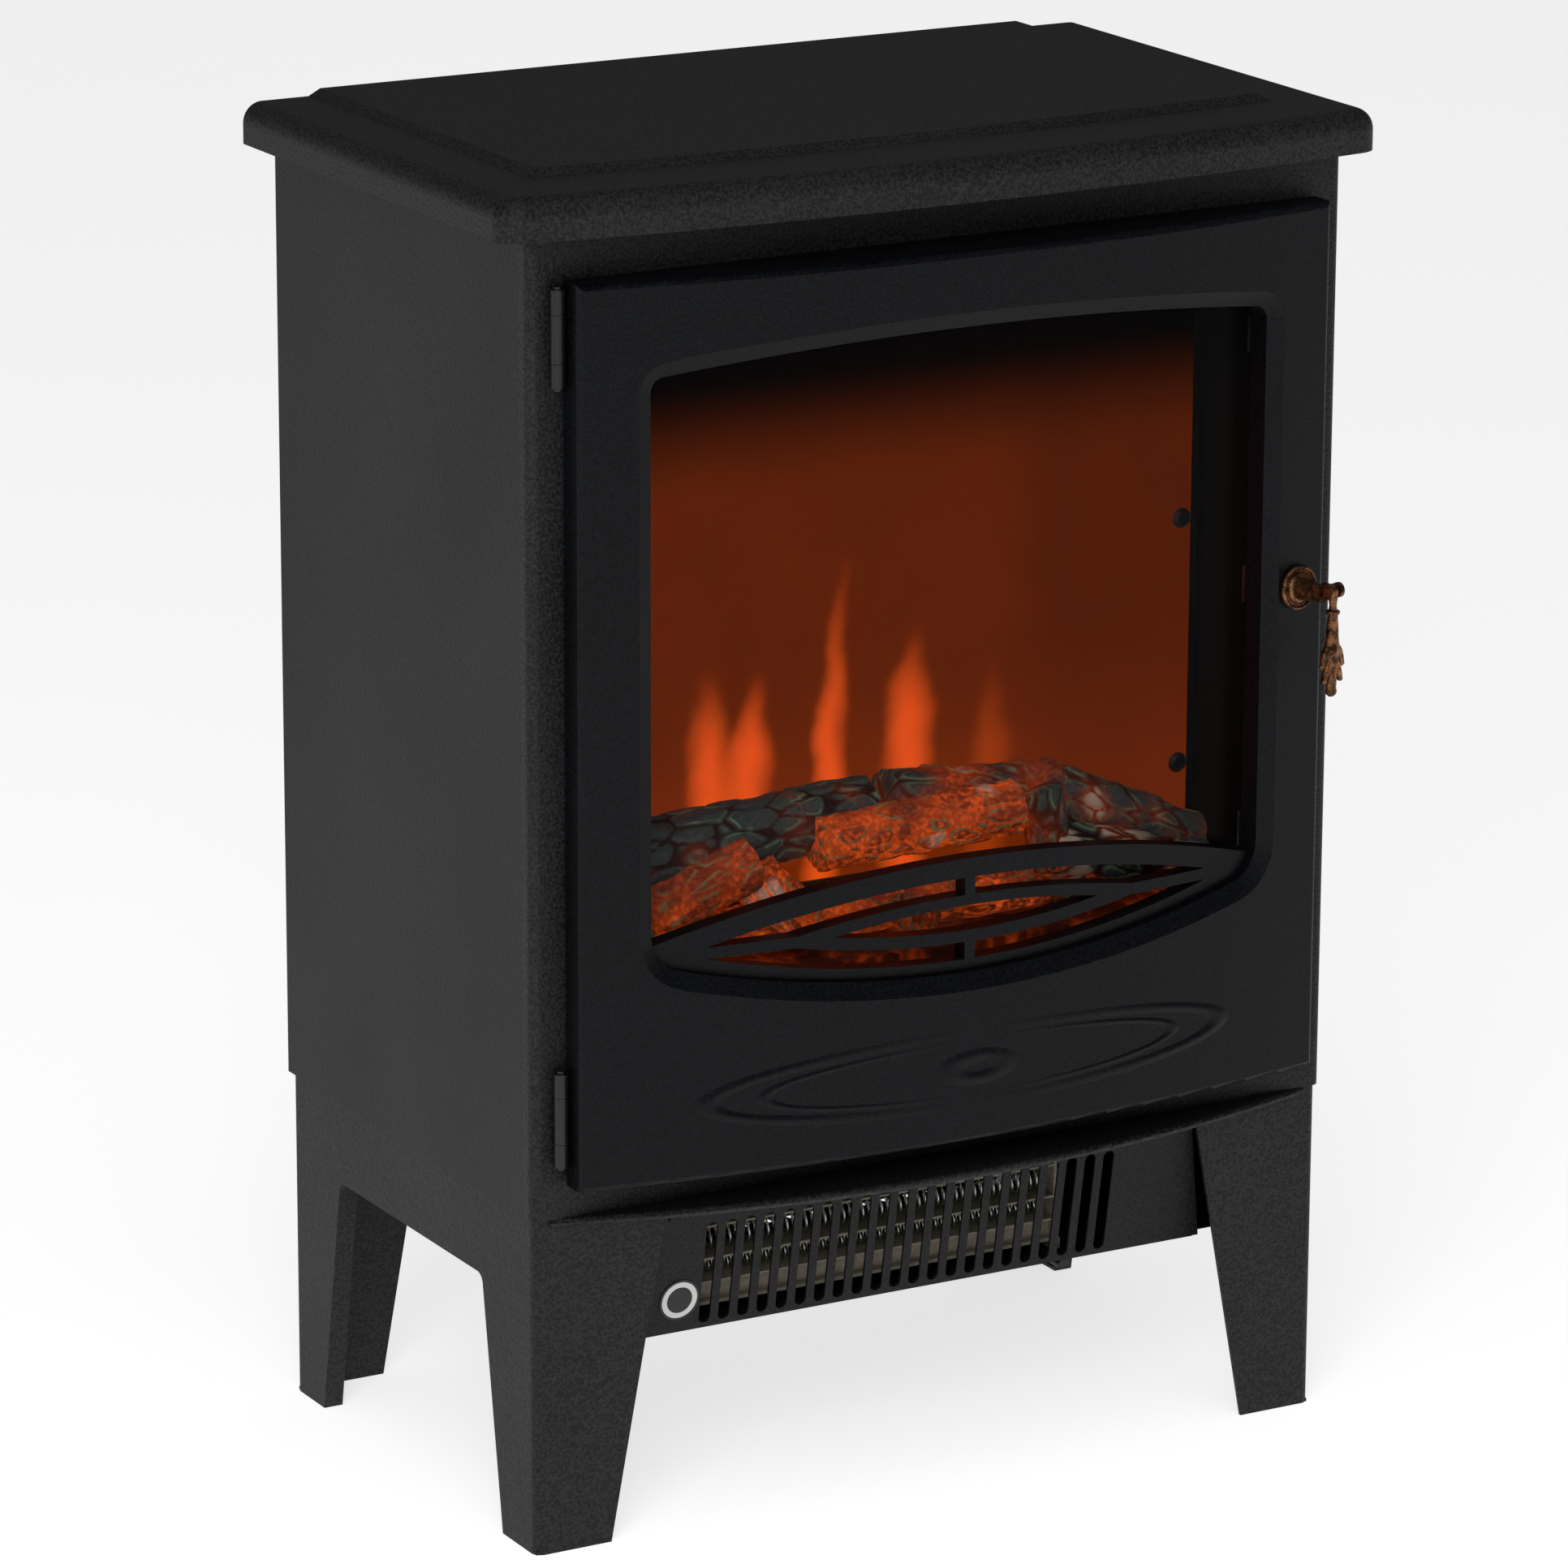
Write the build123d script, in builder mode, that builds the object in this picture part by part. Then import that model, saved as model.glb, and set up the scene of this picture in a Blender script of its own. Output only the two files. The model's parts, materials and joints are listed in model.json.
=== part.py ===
from build123d import *
import math
import os

# A free-standing electric fireplace in the shape of a small iron stove: a sheet-metal cabinet on four
# legs, a bowed door with a window, a log fire behind it and a fan heater underneath.
# Millimetres. +Z is up, the door faces -Y, and the origin is on the floor under the middle of the
# whole object. "Front" below is the flat face of the front frame.

os.makedirs("parts", exist_ok=True)

# ---------------------------------------------------------------- driving dimensions
CABINET_WIDTH = 393.0
CABINET_DEPTH = 235.7
PLINTH_HEIGHT = 150.0
LID_UNDERSIDE = 570.0
LID_WIDTH = 422.8
LID_RIM_HEIGHT = 18.0
LID_STEP_HEIGHT = 3.0
DOOR_WIDTH = 363.0
DOOR_BOTTOM = 165.0
DOOR_TOP = 552.0
DOOR_EDGE = 15.0          # door edge stands this far in front of the frame
DOOR_BOW = 18.0           # and its middle this much further
WINDOW_WIDTH = 312.0      # outer edge of the bevel
FRONT = -98.2             # front frame, which puts the origin under the middle of the object

SHEET = 1.2
HEAVY_SHEET = 1.5
GAP = 0.3                 # clearance between curved or moving neighbours

FROM_BELOW = (Align.CENTER, Align.CENTER, Align.MIN)
FROM_ABOVE = (Align.CENTER, Align.CENTER, Align.MAX)

# ---------------------------------------------------------------- derived places
HALF = CABINET_WIDTH / 2
BACK = FRONT + CABINET_DEPTH
LID_HALF = LID_WIDTH / 2
LID_FACE = LID_UNDERSIDE + LID_RIM_HEIGHT
CABINET_TOP = LID_UNDERSIDE - SHEET
DOOR_HALF = DOOR_WIDTH / 2
DOOR_BACK = FRONT - 2.0
DOOR_CORNER = FRONT - DOOR_EDGE
PLINTH_HALF = HALF - SHEET
PLINTH_FRONT = FRONT + SHEET
PLINTH_BACK = BACK - SHEET
WINDOW_HALF = WINDOW_WIDTH / 2


# ---------------------------------------------------------------- helpers
def middle(span):
    """The middle of a pair of limits."""
    return (span[0] + span[1]) / 2


def block(x, y, z, mode=Mode.ADD):
    """A box between three pairs of limits."""
    with Locations((middle(x), middle(y), middle(z))):
        Box(x[1] - x[0], y[1] - y[0], z[1] - z[0], mode=mode)


def rod_x(x, y, z, radius, mode=Mode.ADD):
    """A cylinder along X between two limits."""
    with Locations(Location((middle(x), y, z), (0, 90, 0))):
        Cylinder(radius, x[1] - x[0], mode=mode)


def rod_y(x, y, z, radius, mode=Mode.ADD):
    """A cylinder along Y between two limits."""
    with Locations(Location((x, middle(y), z), (90, 0, 0))):
        Cylinder(radius, y[1] - y[0], mode=mode)


def rod_z(x, y, z, radius, mode=Mode.ADD):
    """A cylinder along Z between two limits."""
    with Locations((x, y, middle(z))):
        Cylinder(radius, z[1] - z[0], mode=mode)


def bowed_outline(half, back, corner, bow):
    """Plan outline with a straight back and sides and a front that bows towards -Y."""
    with BuildSketch() as plan:
        with BuildLine():
            Line((-half, corner), (-half, back))
            Line((-half, back), (half, back))
            Line((half, back), (half, corner))
            ThreePointArc((half, corner), (0, corner - bow), (-half, corner))
        make_face()
    return plan.sketch


def bowed_solid(half, back, corner, bow, z):
    """The bowed outline raised between two heights."""
    with BuildPart() as solid:
        with BuildSketch(Plane.XY.offset(z[0])):
            add(bowed_outline(half, back, corner, bow))
        extrude(amount=z[1] - z[0])
    return solid.part


def front_view_solid(points, y):
    """A solid with straight sides seen from the front, as deep as a pair of Y limits."""
    with BuildPart() as solid:
        with BuildSketch(Plane.XZ.offset(-y[1])):
            with BuildLine():
                Polyline(*points, close=True)
            make_face()
        extrude(amount=y[1] - y[0])
    return solid.part


finished = []


def save(piece, name):
    """Label a finished piece and write it as its own STEP file."""
    piece.label = name
    finished.append(piece)
    export_step(piece, f"parts/{name}.step")
    print(f"{name}: {len(piece.solids())} solid(s), {piece.volume / 1000:.1f} cm3")


# ---------------------------------------------------------------- lid
LID_BOW = 14.0
LID_CORNER = FRONT - 7.5
LID_PLAN_RADIUS = 12.0
LID_EDGE_RADIUS = 9.0
STEP_HALF = 180.0
STEP_CORNER = FRONT + 31.0
STEP_BOW = 9.0
STEP_RAMP = 5.5           # width of the soft ramp up to the raised middle

with BuildPart() as lid_step:
    step_z = (LID_FACE - 1, LID_FACE + LID_STEP_HEIGHT)
    add(bowed_solid(STEP_HALF, BACK, STEP_CORNER, STEP_BOW, step_z))
    step_top = lid_step.faces().sort_by(Axis.Z)[-1]
    ramp_edges = step_top.edges().sort_by(Axis.Y)[:-1]
    chamfer(ramp_edges, STEP_RAMP, LID_STEP_HEIGHT - 0.1, reference=step_top)

with BuildPart() as top_cover:
    add(bowed_solid(LID_HALF, BACK, LID_CORNER, LID_BOW, (LID_UNDERSIDE, LID_FACE)))
    uprights = top_cover.edges().filter_by(Axis.Z).sort_by(Axis.Y)
    fillet(uprights[:2], LID_PLAN_RADIUS)
    rim = top_cover.faces().sort_by(Axis.Z)[-1].edges().sort_by(Axis.Y)
    fillet(rim[:-1], LID_EDGE_RADIUS)
    add(lid_step.part)
    # hollow from below, in two depths so that the rounded rim keeps its thickness
    for inset, ceiling in ((4, LID_FACE - LID_EDGE_RADIUS), (10, LID_FACE - HEAVY_SHEET)):
        hollow_z = (LID_UNDERSIDE, ceiling)
        hollow = bowed_solid(LID_HALF - inset, BACK - HEAVY_SHEET, LID_CORNER + inset, LID_BOW, hollow_z)
        add(hollow, mode=Mode.SUBTRACT)
save(top_cover.part, "top_cover")

with BuildPart() as cabinet_top_panel:
    block((-HALF, HALF), (FRONT + GAP, BACK), (CABINET_TOP, LID_UNDERSIDE))
    fillet(cabinet_top_panel.edges().filter_by(Axis.Z), 3)
save(cabinet_top_panel.part, "cabinet_top_panel")

# ---------------------------------------------------------------- cabinet
CABINET = (PLINTH_HEIGHT, CABINET_TOP)
FRAME_DEPTH = 8.5
FRAME_EDGE_RADIUS = 4.4
FIRE_HALF = 163.0         # opening of the frame in front of the fire
FIRE_OPENING = (236.0, 540.0)
CONTROL_HOLE = ((-70.0, 70.0), (181.0, 223.0))
CATCH_X = 174.0
CATCH_Z = 385.0

with BuildPart() as front_frame:
    block((-HALF, HALF), (FRONT, FRONT + FRAME_DEPTH), CABINET)
    upright_edges = front_frame.edges().filter_by(Axis.Z).sort_by(Axis.Y)
    fillet(upright_edges[:2], FRAME_EDGE_RADIUS)
    block(
        (-HALF + 2, HALF - 2),
        (FRONT + HEAVY_SHEET, FRONT + FRAME_DEPTH),
        (CABINET[0] + HEAVY_SHEET, CABINET[1] - HEAVY_SHEET),
        mode=Mode.SUBTRACT,
    )
    through = (FRONT - 1, FRONT + FRAME_DEPTH + 1)
    block((-FIRE_HALF, FIRE_HALF), through, FIRE_OPENING, mode=Mode.SUBTRACT)
    block(CONTROL_HOLE[0], through, CONTROL_HOLE[1], mode=Mode.SUBTRACT)
    block((CATCH_X - 6, CATCH_X + 6), through, (CATCH_Z - 16, CATCH_Z + 16), mode=Mode.SUBTRACT)
save(front_frame.part, "front_frame")

SIDE_FRONT = FRONT + FRAME_DEPTH
FLANGE = 13.0
SCREW_X = HALF - 8
SCREW_HEIGHTS = (170.0, 290.0, 410.0, 550.0)
SCREW_RADIUS = 1.6

with BuildPart() as left_side_panel:
    block((-HALF, -HALF + SHEET), (SIDE_FRONT, BACK), CABINET)
    block((-HALF + SHEET, -HALF + FLANGE), (SIDE_FRONT, SIDE_FRONT + SHEET), CABINET)
    block((-HALF + SHEET, -HALF + FLANGE), (BACK - 2 * SHEET, BACK - SHEET), CABINET)
    for height in SCREW_HEIGHTS:
        rod_y(-SCREW_X, (BACK - 3 * SHEET, BACK), height, SCREW_RADIUS, mode=Mode.SUBTRACT)
save(left_side_panel.part, "left_side_panel")

with BuildPart() as right_side_panel:
    mirror(left_side_panel.part, about=Plane.YZ)
save(right_side_panel.part, "right_side_panel")

GLAND_X = -150.0
GLAND_Z = 176.0
GLAND_RADIUS = 7.0
SLOT_COLUMNS = 14
SLOT_STEP = 15.0

with BuildPart() as back_panel:
    block((-HALF + SHEET, HALF - SHEET), (BACK - SHEET, BACK), CABINET)
    for height in SCREW_HEIGHTS:
        for side in (-1, 1):
            rod_y(side * SCREW_X, (BACK - 2 * SHEET, BACK + 1), height, SCREW_RADIUS, mode=Mode.SUBTRACT)
    rod_y(GLAND_X, (BACK - 2 * SHEET, BACK + 1), GLAND_Z, GLAND_RADIUS, mode=Mode.SUBTRACT)
    for height in (215.0, 520.0):
        with BuildSketch(Plane.XZ.offset(-BACK)):
            with Locations((0, height)):
                with GridLocations(SLOT_STEP, 1, SLOT_COLUMNS, 1):
                    SlotOverall(38, 4.5, rotation=90)
        extrude(amount=2 * SHEET, both=True, mode=Mode.SUBTRACT)
save(back_panel.part, "back_panel")

with BuildPart() as back_screws:
    for height in SCREW_HEIGHTS:
        for side in (-1, 1):
            rod_y(side * SCREW_X, (BACK - 9, BACK), height, SCREW_RADIUS - 0.1)
            rod_y(side * SCREW_X, (BACK, BACK + 2.2), height, 3.6)
save(back_screws.part, "back_screws")

# ---------------------------------------------------------------- plinth: two bent leg panels
LEG_FOOT_X = 159.0        # inner edge of a front leg at the floor
LEG_TOP_X = 131.0         # and at the top of the plinth
REAR_FOOT_X = 152.5
REAR_TOP_X = 125.0
SIDE_CUTOUT = ((32.0, 0.0), (50.0, 112.0), (187.0, 112.0), (206.0, 0.0))   # from the front face
LEG_FLANGE = 9.0          # fold round the side cut-out, and along the floor


def side_cutout(grow, x):
    """The leg panel's side cut-out, drawn larger by a margin, as a solid between two X limits."""
    (y0, z0), (y1, z1), (y2, z2), (y3, z3) = SIDE_CUTOUT
    with BuildPart() as cutout:
        with BuildSketch(Plane.YZ.offset(x[0])):
            with BuildLine():
                Polyline(
                    (FRONT + y0 - grow, z0),
                    (FRONT + y1 - grow, z1 + grow),
                    (FRONT + y2 + grow, z2 + grow),
                    (FRONT + y3 + grow, z3),
                    close=True,
                )
            make_face()
            fillet(vertices().group_by(Axis.Y)[-1], 5 + grow)
        extrude(amount=x[1] - x[0])
    return cutout.part


def inside_edge(foot_x, top_x, top_z):
    """What lies between the middle of the object and a slanted leg edge, seen from the front."""
    return ((-foot_x, 0), (-top_x, top_z), (0, top_z), (0, 0))


with BuildPart() as left_leg_panel:
    block((-PLINTH_HALF, -LEG_TOP_X), (PLINTH_FRONT, PLINTH_BACK), (0, PLINTH_HEIGHT))
    corner_edges = left_leg_panel.edges().filter_by(Axis.Z).group_by(Axis.X)[0]
    fillet(corner_edges, FRAME_EDGE_RADIUS)
    block(
        (-PLINTH_HALF + HEAVY_SHEET, -LEG_TOP_X + 1),
        (PLINTH_FRONT + HEAVY_SHEET, PLINTH_BACK - HEAVY_SHEET),
        (0, PLINTH_HEIGHT),
        mode=Mode.SUBTRACT,
    )
    front_gap = inside_edge(LEG_FOOT_X, LEG_TOP_X, PLINTH_HEIGHT)
    rear_gap = inside_edge(REAR_FOOT_X, REAR_TOP_X, PLINTH_HEIGHT)
    add(front_view_solid(front_gap, (PLINTH_FRONT - 1, PLINTH_FRONT + 3)), mode=Mode.SUBTRACT)
    add(front_view_solid(rear_gap, (PLINTH_BACK - 3, PLINTH_BACK + 1)), mode=Mode.SUBTRACT)
    add(side_cutout(HEAVY_SHEET, (-PLINTH_HALF + HEAVY_SHEET / 2, -PLINTH_HALF + LEG_FLANGE)))
    add(side_cutout(0, (-PLINTH_HALF - 1, -PLINTH_HALF + LEG_FLANGE + 1)), mode=Mode.SUBTRACT)
    # feet: narrow folds along the floor, inside the side sheet
    foot_x = (-PLINTH_HALF + HEAVY_SHEET / 2, -PLINTH_HALF + LEG_FLANGE)
    block(foot_x, (PLINTH_FRONT + 1, FRONT + SIDE_CUTOUT[0][0] - 1), (0, HEAVY_SHEET))
    block(foot_x, (FRONT + SIDE_CUTOUT[3][0] + 1, PLINTH_BACK - 1), (0, HEAVY_SHEET))
save(left_leg_panel.part, "left_leg_panel")

with BuildPart() as right_leg_panel:
    mirror(left_leg_panel.part, about=Plane.YZ)
save(right_leg_panel.part, "right_leg_panel")

RAIL_BOTTOM = 98.0
RAIL_X = (-175.0, 175.0)
RAIL_FOLD = 10.0
with BuildPart() as rear_rail:
    rail_y = (PLINTH_BACK - 2 * HEAVY_SHEET, PLINTH_BACK - HEAVY_SHEET)
    block(RAIL_X, rail_y, (RAIL_BOTTOM, PLINTH_HEIGHT - SHEET))
    block(RAIL_X, (rail_y[0] - RAIL_FOLD, rail_y[0]), (RAIL_BOTTOM, RAIL_BOTTOM + HEAVY_SHEET))
save(rear_rail.part, "rear_rail")

DECK = (PLINTH_HEIGHT - SHEET, PLINTH_HEIGHT)
with BuildPart() as base_deck:
    deck_half = PLINTH_HALF - HEAVY_SHEET
    block((-deck_half, deck_half), (PLINTH_FRONT + HEAVY_SHEET, PLINTH_BACK - HEAVY_SHEET), DECK)
save(base_deck.part, "base_deck")

# ---------------------------------------------------------------- hearth ledge
LEDGE_HALF = 188.0
LEDGE_BOW = 30.0
LEDGE_THICKNESS = 3.6
LEDGE_TAB_X = (-LEG_TOP_X + 0.5, LEG_TOP_X - 0.5)     # the tab hangs between the two leg panels
LEDGE_TAB_BOTTOM = 139.0

with BuildPart() as hearth_ledge:
    ledge_z = (PLINTH_HEIGHT - LEDGE_THICKNESS, PLINTH_HEIGHT)
    add(bowed_solid(LEDGE_HALF, PLINTH_FRONT, FRONT, LEDGE_BOW, ledge_z))
    lip = hearth_ledge.edges().filter_by(GeomType.CIRCLE)
    fillet(lip, 1.6)
    tab_back = PLINTH_FRONT + HEAVY_SHEET
    block(LEDGE_TAB_X, (PLINTH_FRONT, tab_back), (LEDGE_TAB_BOTTOM, DECK[0]))
    block(LEDGE_TAB_X, (PLINTH_FRONT - 1, tab_back), (ledge_z[0], DECK[0]))
save(hearth_ledge.part, "hearth_ledge")

# ---------------------------------------------------------------- door
WINDOW_TOP = 526.6        # crown of the window's top arch
WINDOW_TOP_CORNER = 517.0
WINDOW_BOTTOM = 232.4
WINDOW_BOTTOM_CORNER = 253.0
BEVEL_WIDTH = 7.0
BEVEL_DEPTH = 4.5
SURROUND_BACK = FRONT - 4.5
DOOR_SKIN = 1.5


def window_solid(inset, y):
    """The window's outline, drawn inside its outer edge by a margin, as a solid between two Y limits."""
    half = WINDOW_HALF - inset
    low = WINDOW_BOTTOM_CORNER + inset
    high = WINDOW_TOP_CORNER - inset
    with BuildPart() as window:
        with BuildSketch(Plane.XZ.offset(-y[1])):
            with BuildLine():
                Line((-half, low), (-half, high))
                ThreePointArc((-half, high), (0, WINDOW_TOP - inset), (half, high))
                Line((half, high), (half, low))
                ThreePointArc((half, low), (0, WINDOW_BOTTOM + inset), (-half, low))
            make_face()
            fillet(vertices().group_by(Axis.Y)[0], 24 - inset)
            fillet(vertices().group_by(Axis.Y)[-1], 10 - inset / 2)
        extrude(amount=y[1] - y[0])
    return window.part


# the handle stands square to the bowed face
HANDLE_X = 166.3
HANDLE_Z = 385.0
BOW_RADIUS = (DOOR_HALF ** 2 + DOOR_BOW ** 2) / (2 * DOOR_BOW)
HANDLE_ANGLE = math.asin(HANDLE_X / BOW_RADIUS)
HANDLE_Y = DOOR_CORNER - DOOR_BOW + BOW_RADIUS * (1 - math.cos(HANDLE_ANGLE))
handle_plane = Plane(
    origin=(HANDLE_X, HANDLE_Y, HANDLE_Z),
    x_dir=(math.cos(HANDLE_ANGLE), math.sin(HANDLE_ANGLE), 0),
    z_dir=(math.sin(HANDLE_ANGLE), -math.cos(HANDLE_ANGLE), 0),
)
GRILLE_PIN_Y = FRONT - 9.5
GRILLE_PIN_Z = 262.0
GRILLE_HOLE_RADIUS = 1.5

with BuildPart() as door_surround:
    # thick frame round the window, later merged with the door's skin
    add(window_solid(-1.5, (FRONT - 60, SURROUND_BACK)))
    door_curve = bowed_solid(DOOR_HALF, FRONT, DOOR_CORNER, DOOR_BOW, (DOOR_BOTTOM + 5, DOOR_TOP - 5))
    add(door_curve, mode=Mode.INTERSECT)

with BuildPart() as door_panel:
    add(bowed_solid(DOOR_HALF, DOOR_BACK, DOOR_CORNER, DOOR_BOW, (DOOR_BOTTOM, DOOR_TOP)))
    fillet(door_panel.faces().sort_by(Axis.Y)[0].edges(), 2.5)
    # hollow from behind, leaving a fold all round the back
    hollow_z = (DOOR_BOTTOM + DOOR_SKIN, DOOR_TOP - DOOR_SKIN)
    skin_corner = DOOR_CORNER + DOOR_SKIN + 0.6
    hollow = bowed_solid(DOOR_HALF - 2, DOOR_BACK - SHEET, skin_corner, DOOR_BOW, hollow_z)
    add(hollow, mode=Mode.SUBTRACT)
    block(
        (-DOOR_HALF + 16, DOOR_HALF - 16),
        (DOOR_BACK - SHEET - 1, DOOR_BACK + 1),
        (DOOR_BOTTOM + 10, DOOR_TOP - 10),
        mode=Mode.SUBTRACT,
    )
    add(door_surround.part)
    add(window_solid(BEVEL_WIDTH, (FRONT - 60, FRONT)), mode=Mode.SUBTRACT)
    # bevel round the window, wider than it is deep
    bowed_face = door_panel.faces().filter_by(GeomType.CYLINDER).sort_by(SortBy.AREA)[-1]
    window_edges = bowed_face.inner_wires()[0].edges()
    chamfer(window_edges, BEVEL_WIDTH, BEVEL_DEPTH, reference=bowed_face)
    for side in (-1, 1):
        pin_hole = sorted((side * (WINDOW_HALF - 20), side * (WINDOW_HALF + 6)))
        rod_x(pin_hole, GRILLE_PIN_Y, GRILLE_PIN_Z, GRILLE_HOLE_RADIUS, mode=Mode.SUBTRACT)
    with Locations(handle_plane):
        Cylinder(2.2, 12, mode=Mode.SUBTRACT)
save(door_panel.part, "door_panel")


# ---------------------------------------------------------------- window grille
GRILLE_SETBACK = 8.0      # behind the door's face
GRILLE_THICKNESS = 8.2
GRILLE_CROWN = 288.5      # top of its upper arc
GRILLE_SHOULDER = 267.0   # where that arc meets the window's sides
GRILLE_MIDDLE = 262.0     # height of the slots' tips
SLOT_HALF = 123.0
RING_HALF = 83.0
BAR_WIDTH = 5.0
GRILLE_DEPTH = (FRONT - 60, FRONT)


def arc_solid(half, z_edge, z_crown, y=GRILLE_DEPTH):
    """A solid between a level line and an arc through a crown, seen from the front."""
    with BuildPart() as solid:
        with BuildSketch(Plane.XZ.offset(-y[1])):
            with BuildLine():
                Line((-half, z_edge), (half, z_edge))
                ThreePointArc((half, z_edge), (0, z_crown), (-half, z_edge))
            make_face()
        extrude(amount=y[1] - y[0])
    return solid.part


with BuildPart() as grille_slots:
    # long slots above and below a level bar that swells into a ring in the middle
    add(arc_solid(SLOT_HALF, GRILLE_MIDDLE + 2.5, GRILLE_MIDDLE + 18))
    add(arc_solid(SLOT_HALF, GRILLE_MIDDLE - 2.5, GRILLE_MIDDLE - 18))
    add(arc_solid(RING_HALF, GRILLE_MIDDLE + 2.4, GRILLE_MIDDLE + 10.4), mode=Mode.SUBTRACT)
    add(arc_solid(RING_HALF, GRILLE_MIDDLE - 2.4, GRILLE_MIDDLE - 10.4), mode=Mode.SUBTRACT)
    block((-BAR_WIDTH / 2, BAR_WIDTH / 2), GRILLE_DEPTH, (240, 285), mode=Mode.SUBTRACT)
    add(arc_solid(65.5, GRILLE_MIDDLE - 0.1, GRILLE_MIDDLE + 5.8))
    add(arc_solid(65.5, GRILLE_MIDDLE + 0.1, GRILLE_MIDDLE - 5.2))

with BuildPart() as under_crown:
    # everything in the window below the grille's arched top
    crown_half = WINDOW_HALF - BEVEL_WIDTH
    block((-crown_half, crown_half), GRILLE_DEPTH, (WINDOW_BOTTOM, GRILLE_SHOULDER))
    add(arc_solid(crown_half, GRILLE_SHOULDER, GRILLE_CROWN))

with BuildPart() as window_grille:
    add(window_solid(BEVEL_WIDTH + GAP / 2, GRILLE_DEPTH))
    add(under_crown.part, mode=Mode.INTERSECT)
    front_y = DOOR_CORNER + GRILLE_SETBACK
    back_y = front_y + GRILLE_THICKNESS
    band = bowed_solid(DOOR_HALF, FRONT, front_y, DOOR_BOW, (DOOR_BOTTOM, DOOR_TOP))
    add(band, mode=Mode.INTERSECT)
    behind = bowed_solid(DOOR_HALF, FRONT + 20, back_y, DOOR_BOW, (DOOR_BOTTOM, DOOR_TOP))
    add(behind, mode=Mode.SUBTRACT)
    add(grille_slots.part, mode=Mode.SUBTRACT)
    for side in (-1, 1):
        grille_hole = sorted((side * (WINDOW_HALF - 17), side * WINDOW_HALF))
        rod_x(grille_hole, GRILLE_PIN_Y, GRILLE_PIN_Z, GRILLE_HOLE_RADIUS, mode=Mode.SUBTRACT)
save(window_grille.part, "window_grille")

with BuildPart() as grille_pins:
    for side in (-1, 1):
        pin = sorted((side * (WINDOW_HALF - 15), side * (WINDOW_HALF + 1)))
        rod_x(pin, GRILLE_PIN_Y, GRILLE_PIN_Z, GRILLE_HOLE_RADIUS - 0.05)
save(grille_pins.part, "grille_pins")

# ---------------------------------------------------------------- door glass
GLASS = ((-155.0, 155.0), (SURROUND_BACK, SURROUND_BACK + 2), (236.0, 523.0))
with BuildPart() as door_glass:
    block(*GLASS)
    fillet(door_glass.edges().filter_by(Axis.Y), 4)
save(door_glass.part, "door_glass")

with BuildPart() as glass_clips:
    for side in (-1, 1):
        for height in (275.0, 385.0, 495.0):
            over = sorted((side * 149, side * 157.4))
            foot = sorted((side * 155.2, side * 157.4))
            block(over, (GLASS[1][1], GLASS[1][1] + 1), (height - 8, height + 8))
            block(foot, (SURROUND_BACK, GLASS[1][1]), (height - 8, height + 8))
save(glass_clips.part, "glass_clips")

# ---------------------------------------------------------------- hinges
HINGE_X = -185.2
HINGE_Y = FRONT - 4.2
KNUCKLE_RADIUS = 3.2
LEAF = 0.9                # both leaves lie flat between the door and the frame
LEAF_REACH = 14.0         # how far each leaf runs in from the door's edge
HINGE_PIN_RADIUS = 1.2
HINGE_BORE = HINGE_PIN_RADIUS + 0.05
HINGES = (("upper", 508.0), ("lower", 174.5))
HINGE_HEIGHT = 41.0
END_KNUCKLE = 10.2


def frame_leaf(bottom):
    """The leaf on the frame, with the two end knuckles."""
    top = bottom + HINGE_HEIGHT
    with BuildPart() as leaf:
        leaf_x = (HINGE_X + KNUCKLE_RADIUS + 0.6, -DOOR_HALF + LEAF_REACH)
        block(leaf_x, (FRONT - LEAF, FRONT), (bottom, top))
        for z in ((bottom, bottom + END_KNUCKLE), (top - END_KNUCKLE, top)):
            rod_z(HINGE_X, HINGE_Y, z, KNUCKLE_RADIUS)
            block((HINGE_X - 1.5, HINGE_X + 1.5), (HINGE_Y, FRONT), z)
            block((HINGE_X, HINGE_X + KNUCKLE_RADIUS + 1), (FRONT - LEAF, FRONT), z)
        rod_z(HINGE_X, HINGE_Y, (bottom - 1, top + 1), HINGE_BORE, mode=Mode.SUBTRACT)
    return leaf.part


def door_leaf(bottom):
    """The leaf on the door's back fold, with the middle knuckle."""
    top = bottom + HINGE_HEIGHT
    knuckle_z = (bottom + END_KNUCKLE + 0.2, top - END_KNUCKLE - 0.2)
    leaf_y = (DOOR_BACK, DOOR_BACK + LEAF)
    with BuildPart() as leaf:
        rod_z(HINGE_X, HINGE_Y, knuckle_z, KNUCKLE_RADIUS)
        block((HINGE_X, -DOOR_HALF), leaf_y, knuckle_z)
        block((-DOOR_HALF, -DOOR_HALF + LEAF_REACH), leaf_y, (bottom, top))
        rod_z(HINGE_X, HINGE_Y, (bottom, top), HINGE_BORE, mode=Mode.SUBTRACT)
    return leaf.part


def hinge_pin(bottom):
    """The pin with a small head at each end."""
    top = bottom + HINGE_HEIGHT
    with BuildPart() as pin:
        rod_z(HINGE_X, HINGE_Y, (bottom, top), HINGE_PIN_RADIUS)
        rod_z(HINGE_X, HINGE_Y, (bottom - 1.2, bottom), 2)
        rod_z(HINGE_X, HINGE_Y, (top, top + 1.2), 2)
    return pin.part


for hinge_name, hinge_bottom in HINGES:
    save(frame_leaf(hinge_bottom), f"{hinge_name}_hinge_frame_leaf")
    save(door_leaf(hinge_bottom), f"{hinge_name}_hinge_door_leaf")
    save(hinge_pin(hinge_bottom), f"{hinge_name}_hinge_pin")

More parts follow.
